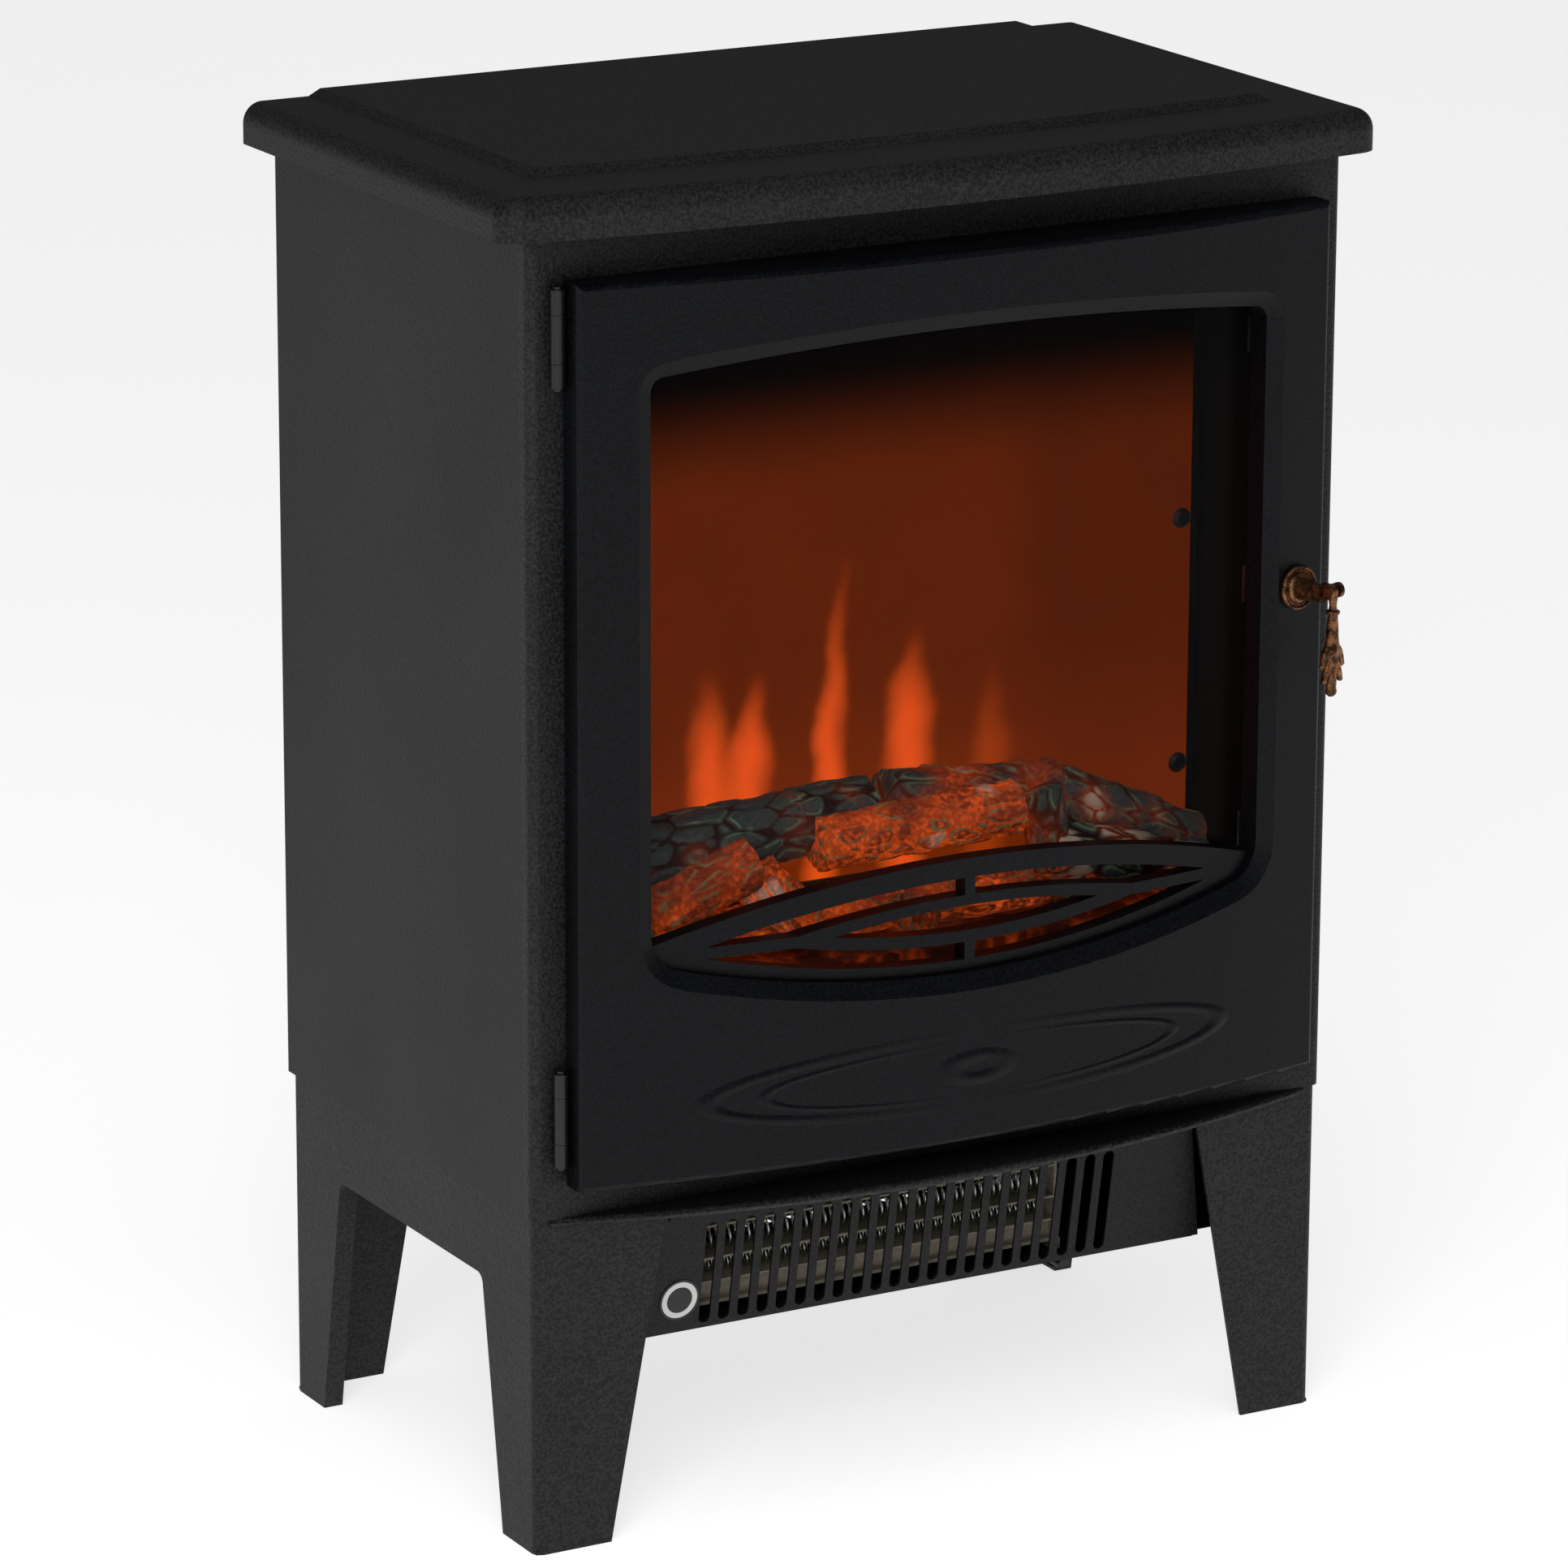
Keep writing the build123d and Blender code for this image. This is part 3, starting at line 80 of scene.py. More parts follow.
class Channel:
    """A value that changes over a surface."""

    def __init__(self, finish, socket):
        self.finish = finish
        self.socket = socket

    def maths(self, operation, first, second):
        return self.finish.node("ShaderNodeMath", {"operation": operation}, {0: first, 1: second})

    def __add__(self, other):
        return self.maths("ADD", self, other)

    def __sub__(self, other):
        return self.maths("SUBTRACT", self, other)

    def __rsub__(self, other):
        return self.maths("SUBTRACT", other, self)

    def __mul__(self, other):
        return self.maths("MULTIPLY", self, other)

    def __truediv__(self, other):
        return self.maths("DIVIDE", self, other)

    def __pow__(self, other):
        return self.maths("POWER", self, other)

    __radd__ = __add__
    __rmul__ = __mul__


class Finish:
    """One material, built round a Principled shader."""

    def __init__(self, name):
        self.name = name
        self.material = bpy.data.materials.new(name)
        self.material.use_nodes = True
        self.tree = self.material.node_tree
        self.shader = self.tree.nodes["Principled BSDF"]
        self.place = self.node("ShaderNodeTexCoord", out="Object")

    def node(self, kind, settings=None, sockets=None, out=0):
        made = self.tree.nodes.new(kind)
        for setting, value in (settings or {}).items():
            setattr(made, setting, value)
        for socket, value in (sockets or {}).items():
            self.feed(made.inputs[socket], value)
        return Channel(self, made.outputs[out])

    def feed(self, socket, value):
        if isinstance(value, Channel):
            self.tree.links.new(value.socket, socket)
        else:
            socket.default_value = value

    def surface(self, **sockets):
        """Sets the shader's own sockets, where Base_Color stands for Base Color, and keeps the finish."""
        for name, value in sockets.items():
            self.feed(self.shader.inputs[name.replace("_", " ")], value)
        FINISHES[self.name] = self.material

    def mix(self, factor, first, second):
        return self.node("ShaderNodeMix", {"data_type": "RGBA"}, {0: factor, 6: first, 7: second}, 2)

    def noise(self, size, detail=2.0, place=None):
        """Soft cloudy noise, from 0 to 1, with lumps of about that size in metres."""
        sockets = {"Vector": place or self.place, "Scale": 1 / size, "Detail": detail}
        return self.node("ShaderNodeTexNoise", None, sockets)

    def stretched(self, scale):
        """Object coordinates multiplied along each axis."""
        return self.node("ShaderNodeMapping", None, {"Vector": self.place, "Scale": scale})

    def smooth(self, value, start, end):
        """0 at start, 1 at end, with an eased slope between."""
        sockets = {0: value, 1: start, 2: end, 3: 0.0, 4: 1.0}
        return self.node("ShaderNodeMapRange", {"interpolation_type": "SMOOTHSTEP"}, sockets)

    def axis(self, letter):
        return self.node("ShaderNodeSeparateXYZ", None, {0: self.place}, letter)

    def attribute(self, name):
        return self.node("ShaderNodeAttribute", {"attribute_name": name}, None, "Fac")

    def bump(self, height, distance):
        return self.node("ShaderNodeBump", None, {"Height": height, "Distance": distance}, "Normal")


def colour(red, green, blue):
    """A screen colour from 0 to 255, as the linear colour that a shader takes."""
    def linear(v):
        v = v / 255
        return v / 12.92 if v <= 0.04045 else ((v + 0.055) / 1.055) ** 2.4
    return (linear(red), linear(green), linear(blue), 1.0)


print("a screen grey of 128 is", round(colour(128, 128, 128)[0], 3), "in a shader")

# %% [markdown]
# Nearly everything outside is black, but no two blacks are alike. The stove body has a grainy stoving
# paint, the door a smoother and cooler one, and the plain sheets a satin one. One recipe covers them
# all: two dark tones mixed by a fine grain, a wide slow change, and a little relief in the paint film.

# %% Black finishes
# name, dark and pale tone, size of a speck and height of the relief in metres, roughness, sheen
BLACKS = (
    ("speckled_black", colour(2, 2, 3), colour(40, 41, 43), 0.0014, 0.00040, 0.58, 0.30),
    ("satin_black", colour(3, 3, 4), colour(28, 28, 29), 0.0014, 0.00020, 0.52, 0.22),
    ("door_black", colour(2, 3, 5), colour(15, 17, 21), 0.0012, 0.00012, 0.44, 0.15),
    ("black_hinge", colour(10, 10, 11), colour(22, 22, 23), 0.0012, 0.00003, 0.36, 0.45),
    ("firebox_black", colour(4, 4, 4), colour(13, 12, 12), 0.0016, 0.00005, 0.78, 0.15),
    ("black_plastic", colour(12, 12, 13), colour(20, 20, 21), 0.0006, 0.00006, 0.50, 0.45),
)
CLOUD_SIZE = 0.09
SPECK_SHARE = 0.85


def black_paint(name, dark, pale, speck, relief, roughness, sheen):
    paint = Finish(name)
    specks = paint.noise(speck, 3.0)
    cloud = paint.noise(CLOUD_SIZE)
    tone = paint.smooth(specks * SPECK_SHARE + cloud * (1 - SPECK_SHARE), 0.34, 0.66)
    paint.surface(
        Base_Color=paint.mix(tone, dark, pale),
        Roughness=roughness + (cloud - 0.5) * 0.12 + (specks - 0.5) * 0.10,
        Specular_IOR_Level=sheen,
        Normal=paint.bump(specks, relief),
    )


for black in BLACKS:
    black_paint(*black)
print("black finishes:", ", ".join(FINISHES))

# %% [markdown]
# Bare metal shows how it was worked. Drawn and rolled metal has fine lines along one direction, which
# noise squeezed on one axis gives. Cast bronze has dark recesses instead, where the patina stays and
# polishing never reaches, so it has its own recipe.

# %% Metals
# name, dark and bright tone, fineness of the lines along x, y and z, roughness
METALS = (
    ("zinc_steel", colour(120, 122, 124), colour(178, 180, 182), (900, 900, 200), 0.34),
    ("bright_aluminium", colour(160, 162, 165), colour(212, 214, 216), (40, 900, 900), 0.26),
    ("motor_steel", colour(84, 86, 88), colour(140, 141, 142), (500, 500, 500), 0.42),
    ("heating_wire", colour(206, 203, 196), colour(246, 243, 236), (2000, 2000, 2000), 0.30),
)


def drawn_metal(name, dark, bright, fineness, roughness):
    """Metal with lines along the axis whose fineness is small, or an even grain if all are equal."""
    metal = Finish(name)
    lines = metal.noise(1.0, 4.0, metal.stretched(fineness))
    cloud = metal.noise(0.02)
    metal.surface(
        Base_Color=metal.mix(lines * 0.7 + cloud * 0.3, dark, bright),
        Metallic=1.0,
        Roughness=roughness + (lines - 0.5) * 0.22,
        Normal=metal.bump(lines, 0.00002),
    )


def antique_bronze():
    """Coppery brown, nearly black in the recesses and brighter where hands rub it."""
    bronze = Finish("copper_bronze")
    patina = bronze.noise(0.004, 5.0)
    fine = bronze.noise(0.0008)
    worn = bronze.smooth(patina * 0.7 + fine * 0.3, 0.36, 0.64)
    bronze.surface(
        Base_Color=bronze.mix(worn, colour(38, 25, 18), colour(150, 102, 68)),
        Metallic=0.92,
        Roughness=0.46 - worn * 0.14,
        Normal=bronze.bump(fine, 0.00006),
    )


for metal in METALS:
    drawn_metal(*metal)
antique_bronze()
print(len(METALS), "worked metals and a cast bronze")

# %% [markdown]
# The fire is a lit screen behind the logs. A lamp board and a turning strip of metal throw a picture
# of flames on its back. The glow is a dull amber. Painted shade dims it at the top, where the top of
# the firebox shadows it, and a little toward the right. Each flame is a narrow hump of light, so the
# material adds up a short list of humps.

# %% Flame screen
# each flame: its middle at the foot, half width, height of the foot, height up to which it is full, and
# height of the tip, then how far the tip leans to the right, all in mm, and its strength
FLAMES = (
    (-80.0, 15.0, 296.0, 318.0, 366.0, -4.0, 0.60),
    (-64.0, 14.0, 296.0, 322.0, 362.0, 5.0, 0.62),
    (-25.0, 11.0, 296.0, 312.0, 412.0, 9.0, 0.62),
    (15.0, 15.0, 296.0, 326.0, 372.0, 3.0, 0.62),
    (56.0, 14.0, 296.0, 306.0, 356.0, 4.0, 0.16),
)
# in mm: how far the flames waver, where painted shade dims the glow at the top and to the right, and
# where the glow above the logs fades
WAVER = 12.0
TOP_PAINTED_SHADE = (432, 488)
RIGHT_PAINTED_SHADE = (50, 95)
LOW_GLOW = (285, 350)


def amber_glow():
    screen = Finish("amber_screen")
    waver = (screen.noise(0.024) - 0.5) * WAVER
    x = screen.axis("X") / MM + waver
    z = screen.axis("Z") / MM
    grain = screen.noise(0.05, 3.0)
    # painted shade: the glow darkens at the top, in the shadow of the firebox top, and a little toward
    # the right
    top_shade = 1 - screen.smooth(z, *TOP_PAINTED_SHADE)
    side = 1 - screen.smooth(x, *RIGHT_PAINTED_SHADE) * 0.22
    low_glow = 1 - screen.smooth(z, *LOW_GLOW)
    light = top_shade * side * (0.085 + grain * 0.05 + low_glow * 0.05)
    for middle, width, foot, body, tip, lean, strength in FLAMES:
        climb = screen.smooth(z, body, tip)
        centre = (z - foot) * (lean / (tip - foot)) + middle
        across = (x - centre) / ((1 - climb * 0.6) * width)
        falloff = 1 - across * across
        hump = falloff.maths("MAXIMUM", falloff, 0.0)
        light = light + hump * hump * (1 - climb) * strength
    glow_share = screen.smooth(light, 0.10, 0.80)
    amber = screen.mix(glow_share, (1.0, 0.118, 0.010, 1.0), (1.0, 0.105, 0.012, 1.0))
    lit = screen.node(
        "ShaderNodeMix", {"data_type": "RGBA", "blend_type": "MULTIPLY"}, {0: 1.0, 6: amber, 7: light}, 2)
    screen.surface(
        Base_Color=colour(5, 2, 1),
        Roughness=0.6 + grain * 0.1,
        Specular_IOR_Level=0.0,
        Emission_Color=lit,
        Emission_Strength=1.0,
    )


amber_glow()
print("flame screen with", len(FLAMES), "flames")

# %% [markdown]
# The window is a thin clear sheet. It should show itself only by a faint sheen at a slant, so it lets
# nearly everything through, and Fresnel makes it a little more solid where it is seen edge on.

# %% Glass
def window_glass():
    glass = Finish("clear_glass")
    sheen = glass.node("ShaderNodeFresnel", None, {"IOR": 1.45})
    smears = glass.noise(0.06, 3.0)
    glass.surface(
        Base_Color=colour(6, 6, 7),
        Roughness=0.04 + smears * 0.05,
        Alpha=0.02 + sheen * 0.25,
    )


window_glass()
print("clear glass, a little more solid edge on")

# %% [markdown]
# The logs and the ember bed are resin castings, painted and lit from below, and that light is painted
# into them as a glow. Their relief is real geometry, made further down, which also records on each point
# how deep it lies in a crack and how much painted glow and orange it has. The orange is partly the
# resin's paint and partly painted light. The paint then follows the cracks by reading those values.

# %% Painted resin
def painted_logs():
    resin = Finish("painted_resin")
    groove = resin.attribute("groove")
    glow_share = resin.attribute("glow_and_orange")
    ash = resin.attribute("ash")
    fibre = resin.noise(0.0022, 4.0)
    cloud = resin.noise(0.014, 3.0)
    char = resin.mix(fibre, colour(30, 33, 33), colour(84, 92, 90))
    # orange that is partly the resin's paint and partly painted light from the lamps below
    orange_paint_and_glow = resin.mix(fibre, colour(92, 24, 14), colour(184, 74, 34))
    bark = resin.mix(resin.smooth(glow_share + (cloud - 0.5) * 0.6, 0.2, 0.7), char, orange_paint_and_glow)
    rim = resin.smooth(groove, 0.02, 0.16) * (1 - resin.smooth(groove, 0.24, 0.46))
    lined = resin.mix(rim * resin.smooth(cloud, 0.42, 0.6) * 0.75, bark, colour(118, 146, 98))
    dusted = resin.mix(resin.smooth(ash + (cloud - 0.5) * 0.8, 0.45, 0.75), lined, colour(196, 178, 158))
    cracked = resin.mix(resin.smooth(groove, 0.4, 0.85), dusted, colour(44, 10, 6))
    # painted glow: emission stands in for the light that the lamps below and the screen throw on the
    # logs, and embers is its colour
    glow = glow_share * glow_share * (0.05 + resin.smooth(fibre, 0.42, 0.68) * 0.28 + groove * 0.26) * (1 - rim * 0.8)
    embers = resin.mix(glow, (0.0, 0.0, 0.0, 1.0), (1.0, 0.12, 0.012, 1.0))
    resin.surface(
        Base_Color=cracked,
        Roughness=0.72 + (fibre - 0.5) * 0.2,
        Specular_IOR_Level=0.25,
        Emission_Color=embers,
        Emission_Strength=1.0,
        Normal=resin.bump(fibre, 0.0005),
    )


def ember_bed_with_painted_glow():
    resin = Finish("ember_resin")
    groove = resin.attribute("groove")
    fibre = resin.noise(0.0018, 3.0)
    cloud = resin.noise(0.02)
    lump = resin.mix(fibre, colour(30, 20, 16), colour(96, 58, 40))
    # painted glow in the cracks, standing in for the lamps that light the bed from below
    glow = (groove * 0.7 + 0.12) * resin.smooth(cloud, 0.36, 0.7)
    resin.surface(
        Base_Color=resin.mix(groove, lump, colour(90, 22, 8)),
        Roughness=0.8 - fibre * 0.15,
        Specular_IOR_Level=0.2,
        Emission_Color=resin.mix(glow, (0.004, 0.0006, 0.0, 1.0), (0.22, 0.022, 0.002, 1.0)),
        Emission_Strength=1.0,
        Normal=resin.bump(fibre, 0.0006),
    )


painted_logs()
ember_bed_with_painted_glow()
print("two painted resins, for the logs and for the embers")

# %% [markdown]
# Four small finishes are left: the green lamp board, its lamps, the flaky mineral board that carries
# the heating wire, and a round sticker. The sticker is a plain pale ring, drawn from the distance to
# the middle of the piece, so it says nothing.

# %% Board, lamp, mica and sticker
def board_green():
    board = Finish("circuit_board")
    cells = board.node(
        "ShaderNodeTexVoronoi", {"distance": "MANHATTAN"}, {"Vector": board.place, "Scale": 180})
    tracks = board.smooth(cells, 0.30, 0.36)
    board.surface(
        Base_Color=board.mix(tracks, colour(24, 74, 44), colour(40, 104, 62)),
        Roughness=0.42 + tracks * 0.1,
        Normal=board.bump(tracks, 0.00003),
    )


def warm_lamp():
    lens = Finish("lamp")
    cloud = lens.noise(0.002)
    lens.surface(
        Base_Color=colour(236, 196, 120),
        Roughness=0.3 + cloud * 0.1,
        Emission_Color=lens.mix(cloud, (1.0, 0.30, 0.05, 1.0), (1.0, 0.42, 0.09, 1.0)),
        Emission_Strength=1.4,
    )


def mica():
    board = Finish("mica_board")
    flakes = board.node("ShaderNodeTexVoronoi", None, {"Vector": board.place, "Scale": 420})
    cloud = board.noise(0.01, 3.0)
    board.surface(
        Base_Color=board.mix(flakes * 0.6 + cloud * 0.4, colour(112, 106, 92), colour(168, 160, 142)),
        Roughness=0.45 + flakes * 0.2,
        Normal=board.bump(flakes, 0.00008),
    )


RING_INNER = 0.0062
RING_OUTER = 0.0084
RING_EDGE = 0.0002


def ring_sticker():
    sticker = Finish("pale_sticker")
    low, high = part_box("round_sticker")
    middle = (low + high) / 2
    upright = (high.x - low.x) / (high.z - low.z)
    across = sticker.axis("X") - middle.x
    along = (sticker.axis("Z") - middle.z) * upright
    reach = (across * across + along * along) ** 0.5
    outside = sticker.smooth(reach, RING_INNER - RING_EDGE, RING_INNER)
    ring = outside * (1 - sticker.smooth(reach, RING_OUTER, RING_OUTER + RING_EDGE))
    paper = sticker.noise(0.0007)
    pale = sticker.mix(paper, colour(206, 206, 204), colour(226, 226, 224))
    sticker.surface(
        Base_Color=sticker.mix(ring, colour(20, 20, 21), pale),
        Roughness=0.5 + paper * 0.1,
    )


board_green()
warm_lamp()
mica()
ring_sticker()
print(len(FINISHES), "finishes in all")

# %% [markdown]
# Each engineering piece arrives with a plain material named after its finish. Swapping it for the
# detailed one of the same name dresses the whole object, and a name with no finish stops the script
# here instead of leaving a grey piece in the picture.

# %% Dress the engineering pieces
for node in frame["nodes"].values():
    slot_name = node.material_slots[0].material.name.split(".")[0]
    node.material_slots[0].material = FINISHES[slot_name]
print("dressed", len(frame["nodes"]), "pieces in", len(FINISHES), "finishes")

# %% [markdown]
# The rest are new pieces. A round one is a profile turned on a lathe, which is a spin, and a cast one
# is a row of rings bridged into a skin. Both come out of one helper that turns a bmesh into a piece,
# merges its doubles, points its faces outward and puts it on its body.

# %% Mesh helpers
MERGE_DISTANCE = 0.000005
SHARP_ANGLE = math.radians(50)


def piece(name, mesh, body, slot_name, *stands_for):
    """Makes an object of the bmesh, gives it its finish, and puts it in place of CAD nodes."""
    bmesh.ops.remove_doubles(mesh, verts=mesh.verts, dist=MERGE_DISTANCE)
    bmesh.ops.recalc_face_normals(mesh, faces=mesh.faces)
    data = bpy.data.meshes.new(name)
    mesh.to_mesh(data)
    mesh.free()
    data.polygons.foreach_set("use_smooth", [True] * len(data.polygons))
    data.set_sharp_from_angle(angle=SHARP_ANGLE)
    data.materials.append(FINISHES[slot_name])
    made = bpy.data.objects.new(name, data)
    bpy.context.scene.collection.objects.link(made)
    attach(made, body)
    if stands_for:
        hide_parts(*stands_for)
    print(name, len(data.polygons), "faces")
    return made


def turned(mesh, profile, steps):
    """Spins a profile of (radius, height) points round Z; returns its points."""
    points = [mesh.verts.new((radius, 0.0, height)) for radius, height in profile]
    edges = [mesh.edges.new(pair) for pair in zip(points, points[1:])]
    before = set(mesh.verts) - set(points)
    bmesh.ops.spin(
        mesh, geom=points + edges, cent=(0, 0, 0), axis=(0, 0, 1), angle=math.tau, steps=steps,
        use_merge=True)
    return [v for v in mesh.verts if v not in before]


def ring_edges(ring):
    members = set(ring)
    return list({e for v in ring for e in v.link_edges if members.issuperset(e.verts)})


def lofted(mesh, stations, sides, turn):
    """Bridges ellipses of (centre x, y, z, half x, half y) into one closed skin."""
    rings = []
    for x, y, z, half_x, half_y in stations:
        ring = bmesh.ops.create_circle(mesh, segments=sides, radius=1.0)["verts"]
        bmesh.ops.scale(mesh, vec=(half_x, half_y, 1.0), verts=ring)
        bmesh.ops.translate(mesh, vec=(x, y, z), verts=ring)
        rings.append(ring)
    for first, second in zip(rings, rings[1:]):
        bmesh.ops.bridge_loops(mesh, edges=ring_edges(first) + ring_edges(second))
    for end in (rings[0], rings[-1]):
        bmesh.ops.holes_fill(mesh, edges=ring_edges(end), sides=0)
    bmesh.ops.transform(mesh, matrix=turn, verts=[v for ring in rings for v in ring])


print("edges over", round(math.degrees(SHARP_ANGLE)), "degrees stay sharp")

# %% [markdown]
# Each log is a lathe-turned bar with eased ends, laid between its two ends, and its bark is carved
# by moving points in and out. Cell noise gives the plates: where the two nearest cells are equally far
# off, there is a crack. The crack's depth is kept as an attribute for the paint.

# %% Logs
# each log: its two ends as (x, depth behind the front, height) and the radius at each, in mm, and then
# how much painted glow and orange it has and how ashy it is, from 0 to 1
LOGS = (
    ((-148, 36, 290), (-14, 38, 297), 15.5, 15.0, 0.15, 0.05),
    ((-6, 38, 298), (80, 38, 291), 15.0, 14.5, 0.50, 0.05),
    ((76, 37, 292), (149, 33, 262), 14.0, 11.5, 0.25, 0.20),
    ((-148, 24, 261), (-79, 24, 286), 13.0, 12.5, 0.70, 0.15),
    ((-48, 24, 289), (52, 24, 292), 12.5, 12.4, 0.95, 0.10),
    ((63, 25, 299), (72, 23, 262), 10.0, 10.5, 0.35, 0.05),
    ((66, 24, 272), (147, 25, 254), 12.0, 10.5, 0.12, 0.45),
    ((-78, 27, 280), (-52, 26, 252), 12.0, 11.9, 0.90, 0.45),
    ((1, 16, 251), (1, 44, 251), 10.5, 10.4, 0.60, 0.05),
    ((-148, 36, 251.5), (148, 36, 251.5), 10.6, 10.5, 0.80, 0.00),
    ((79, 18, 249.5), (79, 44, 252), 9.0, 9.1, 0.20, 0.30),
)
# in mm, but RIM_SHARE is a part of the radius, PLATE_STRETCH a multiple, CRACK_WIDTH a part of a plate,
# and SEED_STEP takes each log to its own stretch of the noise
BARK_STEP = 1.35
END_LENGTH = 1.2
END_RIM = 0.3
RIM_SHARE = 0.86
PLATE = 9.0
PLATE_STRETCH = 2.2
CRACK_WIDTH = 0.22
CRACK_DEPTH = 1.5
LUMP = 11.0
LUMP_HEIGHT = 1.3
FINE = 2.6
FINE_HEIGHT = 0.35
PATCH = 17.0
SEED_STEP = Vector((37.1, 11.3, 5.7))
LOG_VALUES = ("groove", "glow_and_orange", "ash")


def crack_at(point):
    """1 in the middle of a crack, 0 on a plate."""
    near, second = noise.voronoi(point)[0][:2]
    return max(0.0, 1.0 - (second - near) / CRACK_WIDTH)


def add_log(mesh, values, first, second, radius_a, radius_b, glow_share, ash, seed):
    start = Vector((first[0], FRONT / MM + first[1], first[2]))
    end = Vector((second[0], FRONT / MM + second[1], second[2]))
    along = end - start
    length = along.length
    rows = max(4, round(length / BARK_STEP))
    barrel = length - 2 * END_LENGTH
    profile = [(0.0, 0.0), (radius_a / 2, 0.0), (radius_a * RIM_SHARE, END_RIM)]
    profile += [(radius_a + (radius_b - radius_a) * i / rows, END_LENGTH + barrel * i / rows)
                for i in range(rows + 1)]
    profile += [(radius_b * RIM_SHARE, length - END_RIM), (radius_b / 2, length), (0.0, length)]
    made = turned(mesh, profile, round(math.tau * radius_a / BARK_STEP))
    offset = SEED_STEP * seed
    turn = Matrix.Translation(start) @ along.to_track_quat("Z", "Y").to_matrix().to_4x4()
    for v in made:
        sample = Vector((v.co.x / PLATE, v.co.y / PLATE, v.co.z / (PLATE * PLATE_STRETCH)))
        crack = crack_at(sample + offset)
        lump = noise.noise(v.co / LUMP + offset)
        fine = noise.noise(v.co / FINE + offset)
        out = Vector((v.co.x, v.co.y, 0.0))
        shift = lump * LUMP_HEIGHT + fine * FINE_HEIGHT - crack * CRACK_DEPTH
        if out.length > radius_b * 0.6:
            v.co += out.normalized() * shift
        patch = noise.noise(v.co / PATCH - offset)
        v[values["groove"]] = crack
        # how much painted glow and orange this point has, in patches
        v[values["glow_and_orange"]] = min(1.0, max(0.0, glow_share + patch * 0.5))
        v[values["ash"]] = min(1.0, max(0.0, ash + patch * 0.7))
    bmesh.ops.transform(mesh, matrix=turn, verts=made)


def logs():
    mesh = bmesh.new()
    # the value of painted glow and orange is not named "heat", a name that the renderer keeps for smoke
    # and fire
    for name in LOG_VALUES:
        mesh.verts.layers.float.new(name)
    values = {name: mesh.verts.layers.float[name] for name in LOG_VALUES}
    for seed, row in enumerate(LOGS):
        add_log(mesh, values, *row, seed)
    bmesh.ops.scale(mesh, vec=(MM, MM, MM), verts=mesh.verts)
    return piece("logs", mesh, "cabinet", "painted_resin", "log_set")


logs()

# %% [markdown]
# The ember bed is one shallow tray of cast lumps. A fine grid is raised over each cell of the same
# noise and sinks along the cracks between them, and the border is pulled down to close it as a block.

# %% Ember bed
EMBER_SLICE = 3.3                       # where the cell noise is cut through, in cells
# in mm
EMBER = 8.0
EMBER_STEP = 1.6
EMBER_HEIGHT = 2.2
VALLEY_DEPTH = 3.6
SWELL = 9.0
SWELL_HEIGHT = 1.2


def embers():
    low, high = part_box("ember_bed")
    size = (high - low) / MM
    mesh = bmesh.new()
    groove = mesh.verts.layers.float.new("groove")
    bmesh.ops.create_grid(
        mesh, x_segments=round(size.x / EMBER_STEP), y_segments=round(size.y / EMBER_STEP), size=0.5)
    bmesh.ops.scale(mesh, vec=(size.x, size.y, 1.0), verts=mesh.verts)
    for v in mesh.verts:
        crack = crack_at(Vector((v.co.x / EMBER, v.co.y / EMBER, EMBER_SLICE)))
        swell = SWELL_HEIGHT * noise.noise(v.co / SWELL)
        v[groove] = crack
        v.co.z = size.z - VALLEY_DEPTH + EMBER_HEIGHT * (1 - crack) + swell
    rim = [e for e in mesh.edges if e.is_boundary]
    wall = bmesh.ops.extrude_edge_only(mesh, edges=rim)["geom"]
    foot = [v for v in wall if isinstance(v, bmesh.types.BMVert)]
    for v in foot:
        v.co.z = 0.0
    bmesh.ops.holes_fill(mesh, edges=[e for e in mesh.edges if e.is_boundary], sides=0)
    bmesh.ops.scale(mesh, vec=(MM, MM, MM), verts=mesh.verts)
    middle = (low + high) / 2
    bmesh.ops.translate(mesh, vec=(middle.x, middle.y, low.z), verts=mesh.verts)
    return piece("embers", mesh, "cabinet", "ember_resin", "ember_bed")


embers()

# %% [markdown]
# The handle is a cast drop on a beaded rosette. Its joint gives the pivot and the direction of the
# pin, and from those two the whole handle can be set out: across the pin, up, and out from the door.

# %% Handle frame
swing = next(j for j in frame["joints"] if j["name"] == "drop_swing")
PIVOT = Vector(swing["pos_m"])
ACROSS = -Vector(swing["axis"])
UP = Vector((0, 0, 1))
OUT = ACROSS.cross(UP)


def set_out(x_axis, y_axis, z_axis, origin):
    """The matrix that takes local millimetres to those axes at that origin."""
    turn = Matrix((x_axis, y_axis, z_axis)).transposed().to_4x4()
    return Matrix.Translation(origin) @ turn @ Matrix.Scale(MM, 4)


print("the drop hangs from", [round(value, 4) for value in PIVOT])

# %% [markdown]
# The rosette is turned from one profile: a rounded rim, a groove and a low dome. A ring of small beads
# sits in the groove, each a little sphere put in its place by a turn and a shift.

# %% Rosette
PIVOT_OUT = 22.7 * MM                   # from the foot of the rosette to the pivot
PIVOT_UP = 2.8 * MM                     # from the middle of the rosette to the pivot
BEADS = 44
BEAD_CIRCLE = 7.5
BEAD_RADIUS = 0.52
BEAD_HEIGHT = 1.85
ROSETTE_STEPS = 96
ROSETTE = ((0, 0), (9.4, 0), (9.9, 0.5), (9.95, 1.5), (9.5, 2.4), (8.9, 2.7), (8.3, 2.3), (8.1, 1.7),
           (6.9, 1.7), (6.6, 2.4), (6.1, 3.0), (5.4, 3.4), (3.0, 3.7), (0, 3.8))


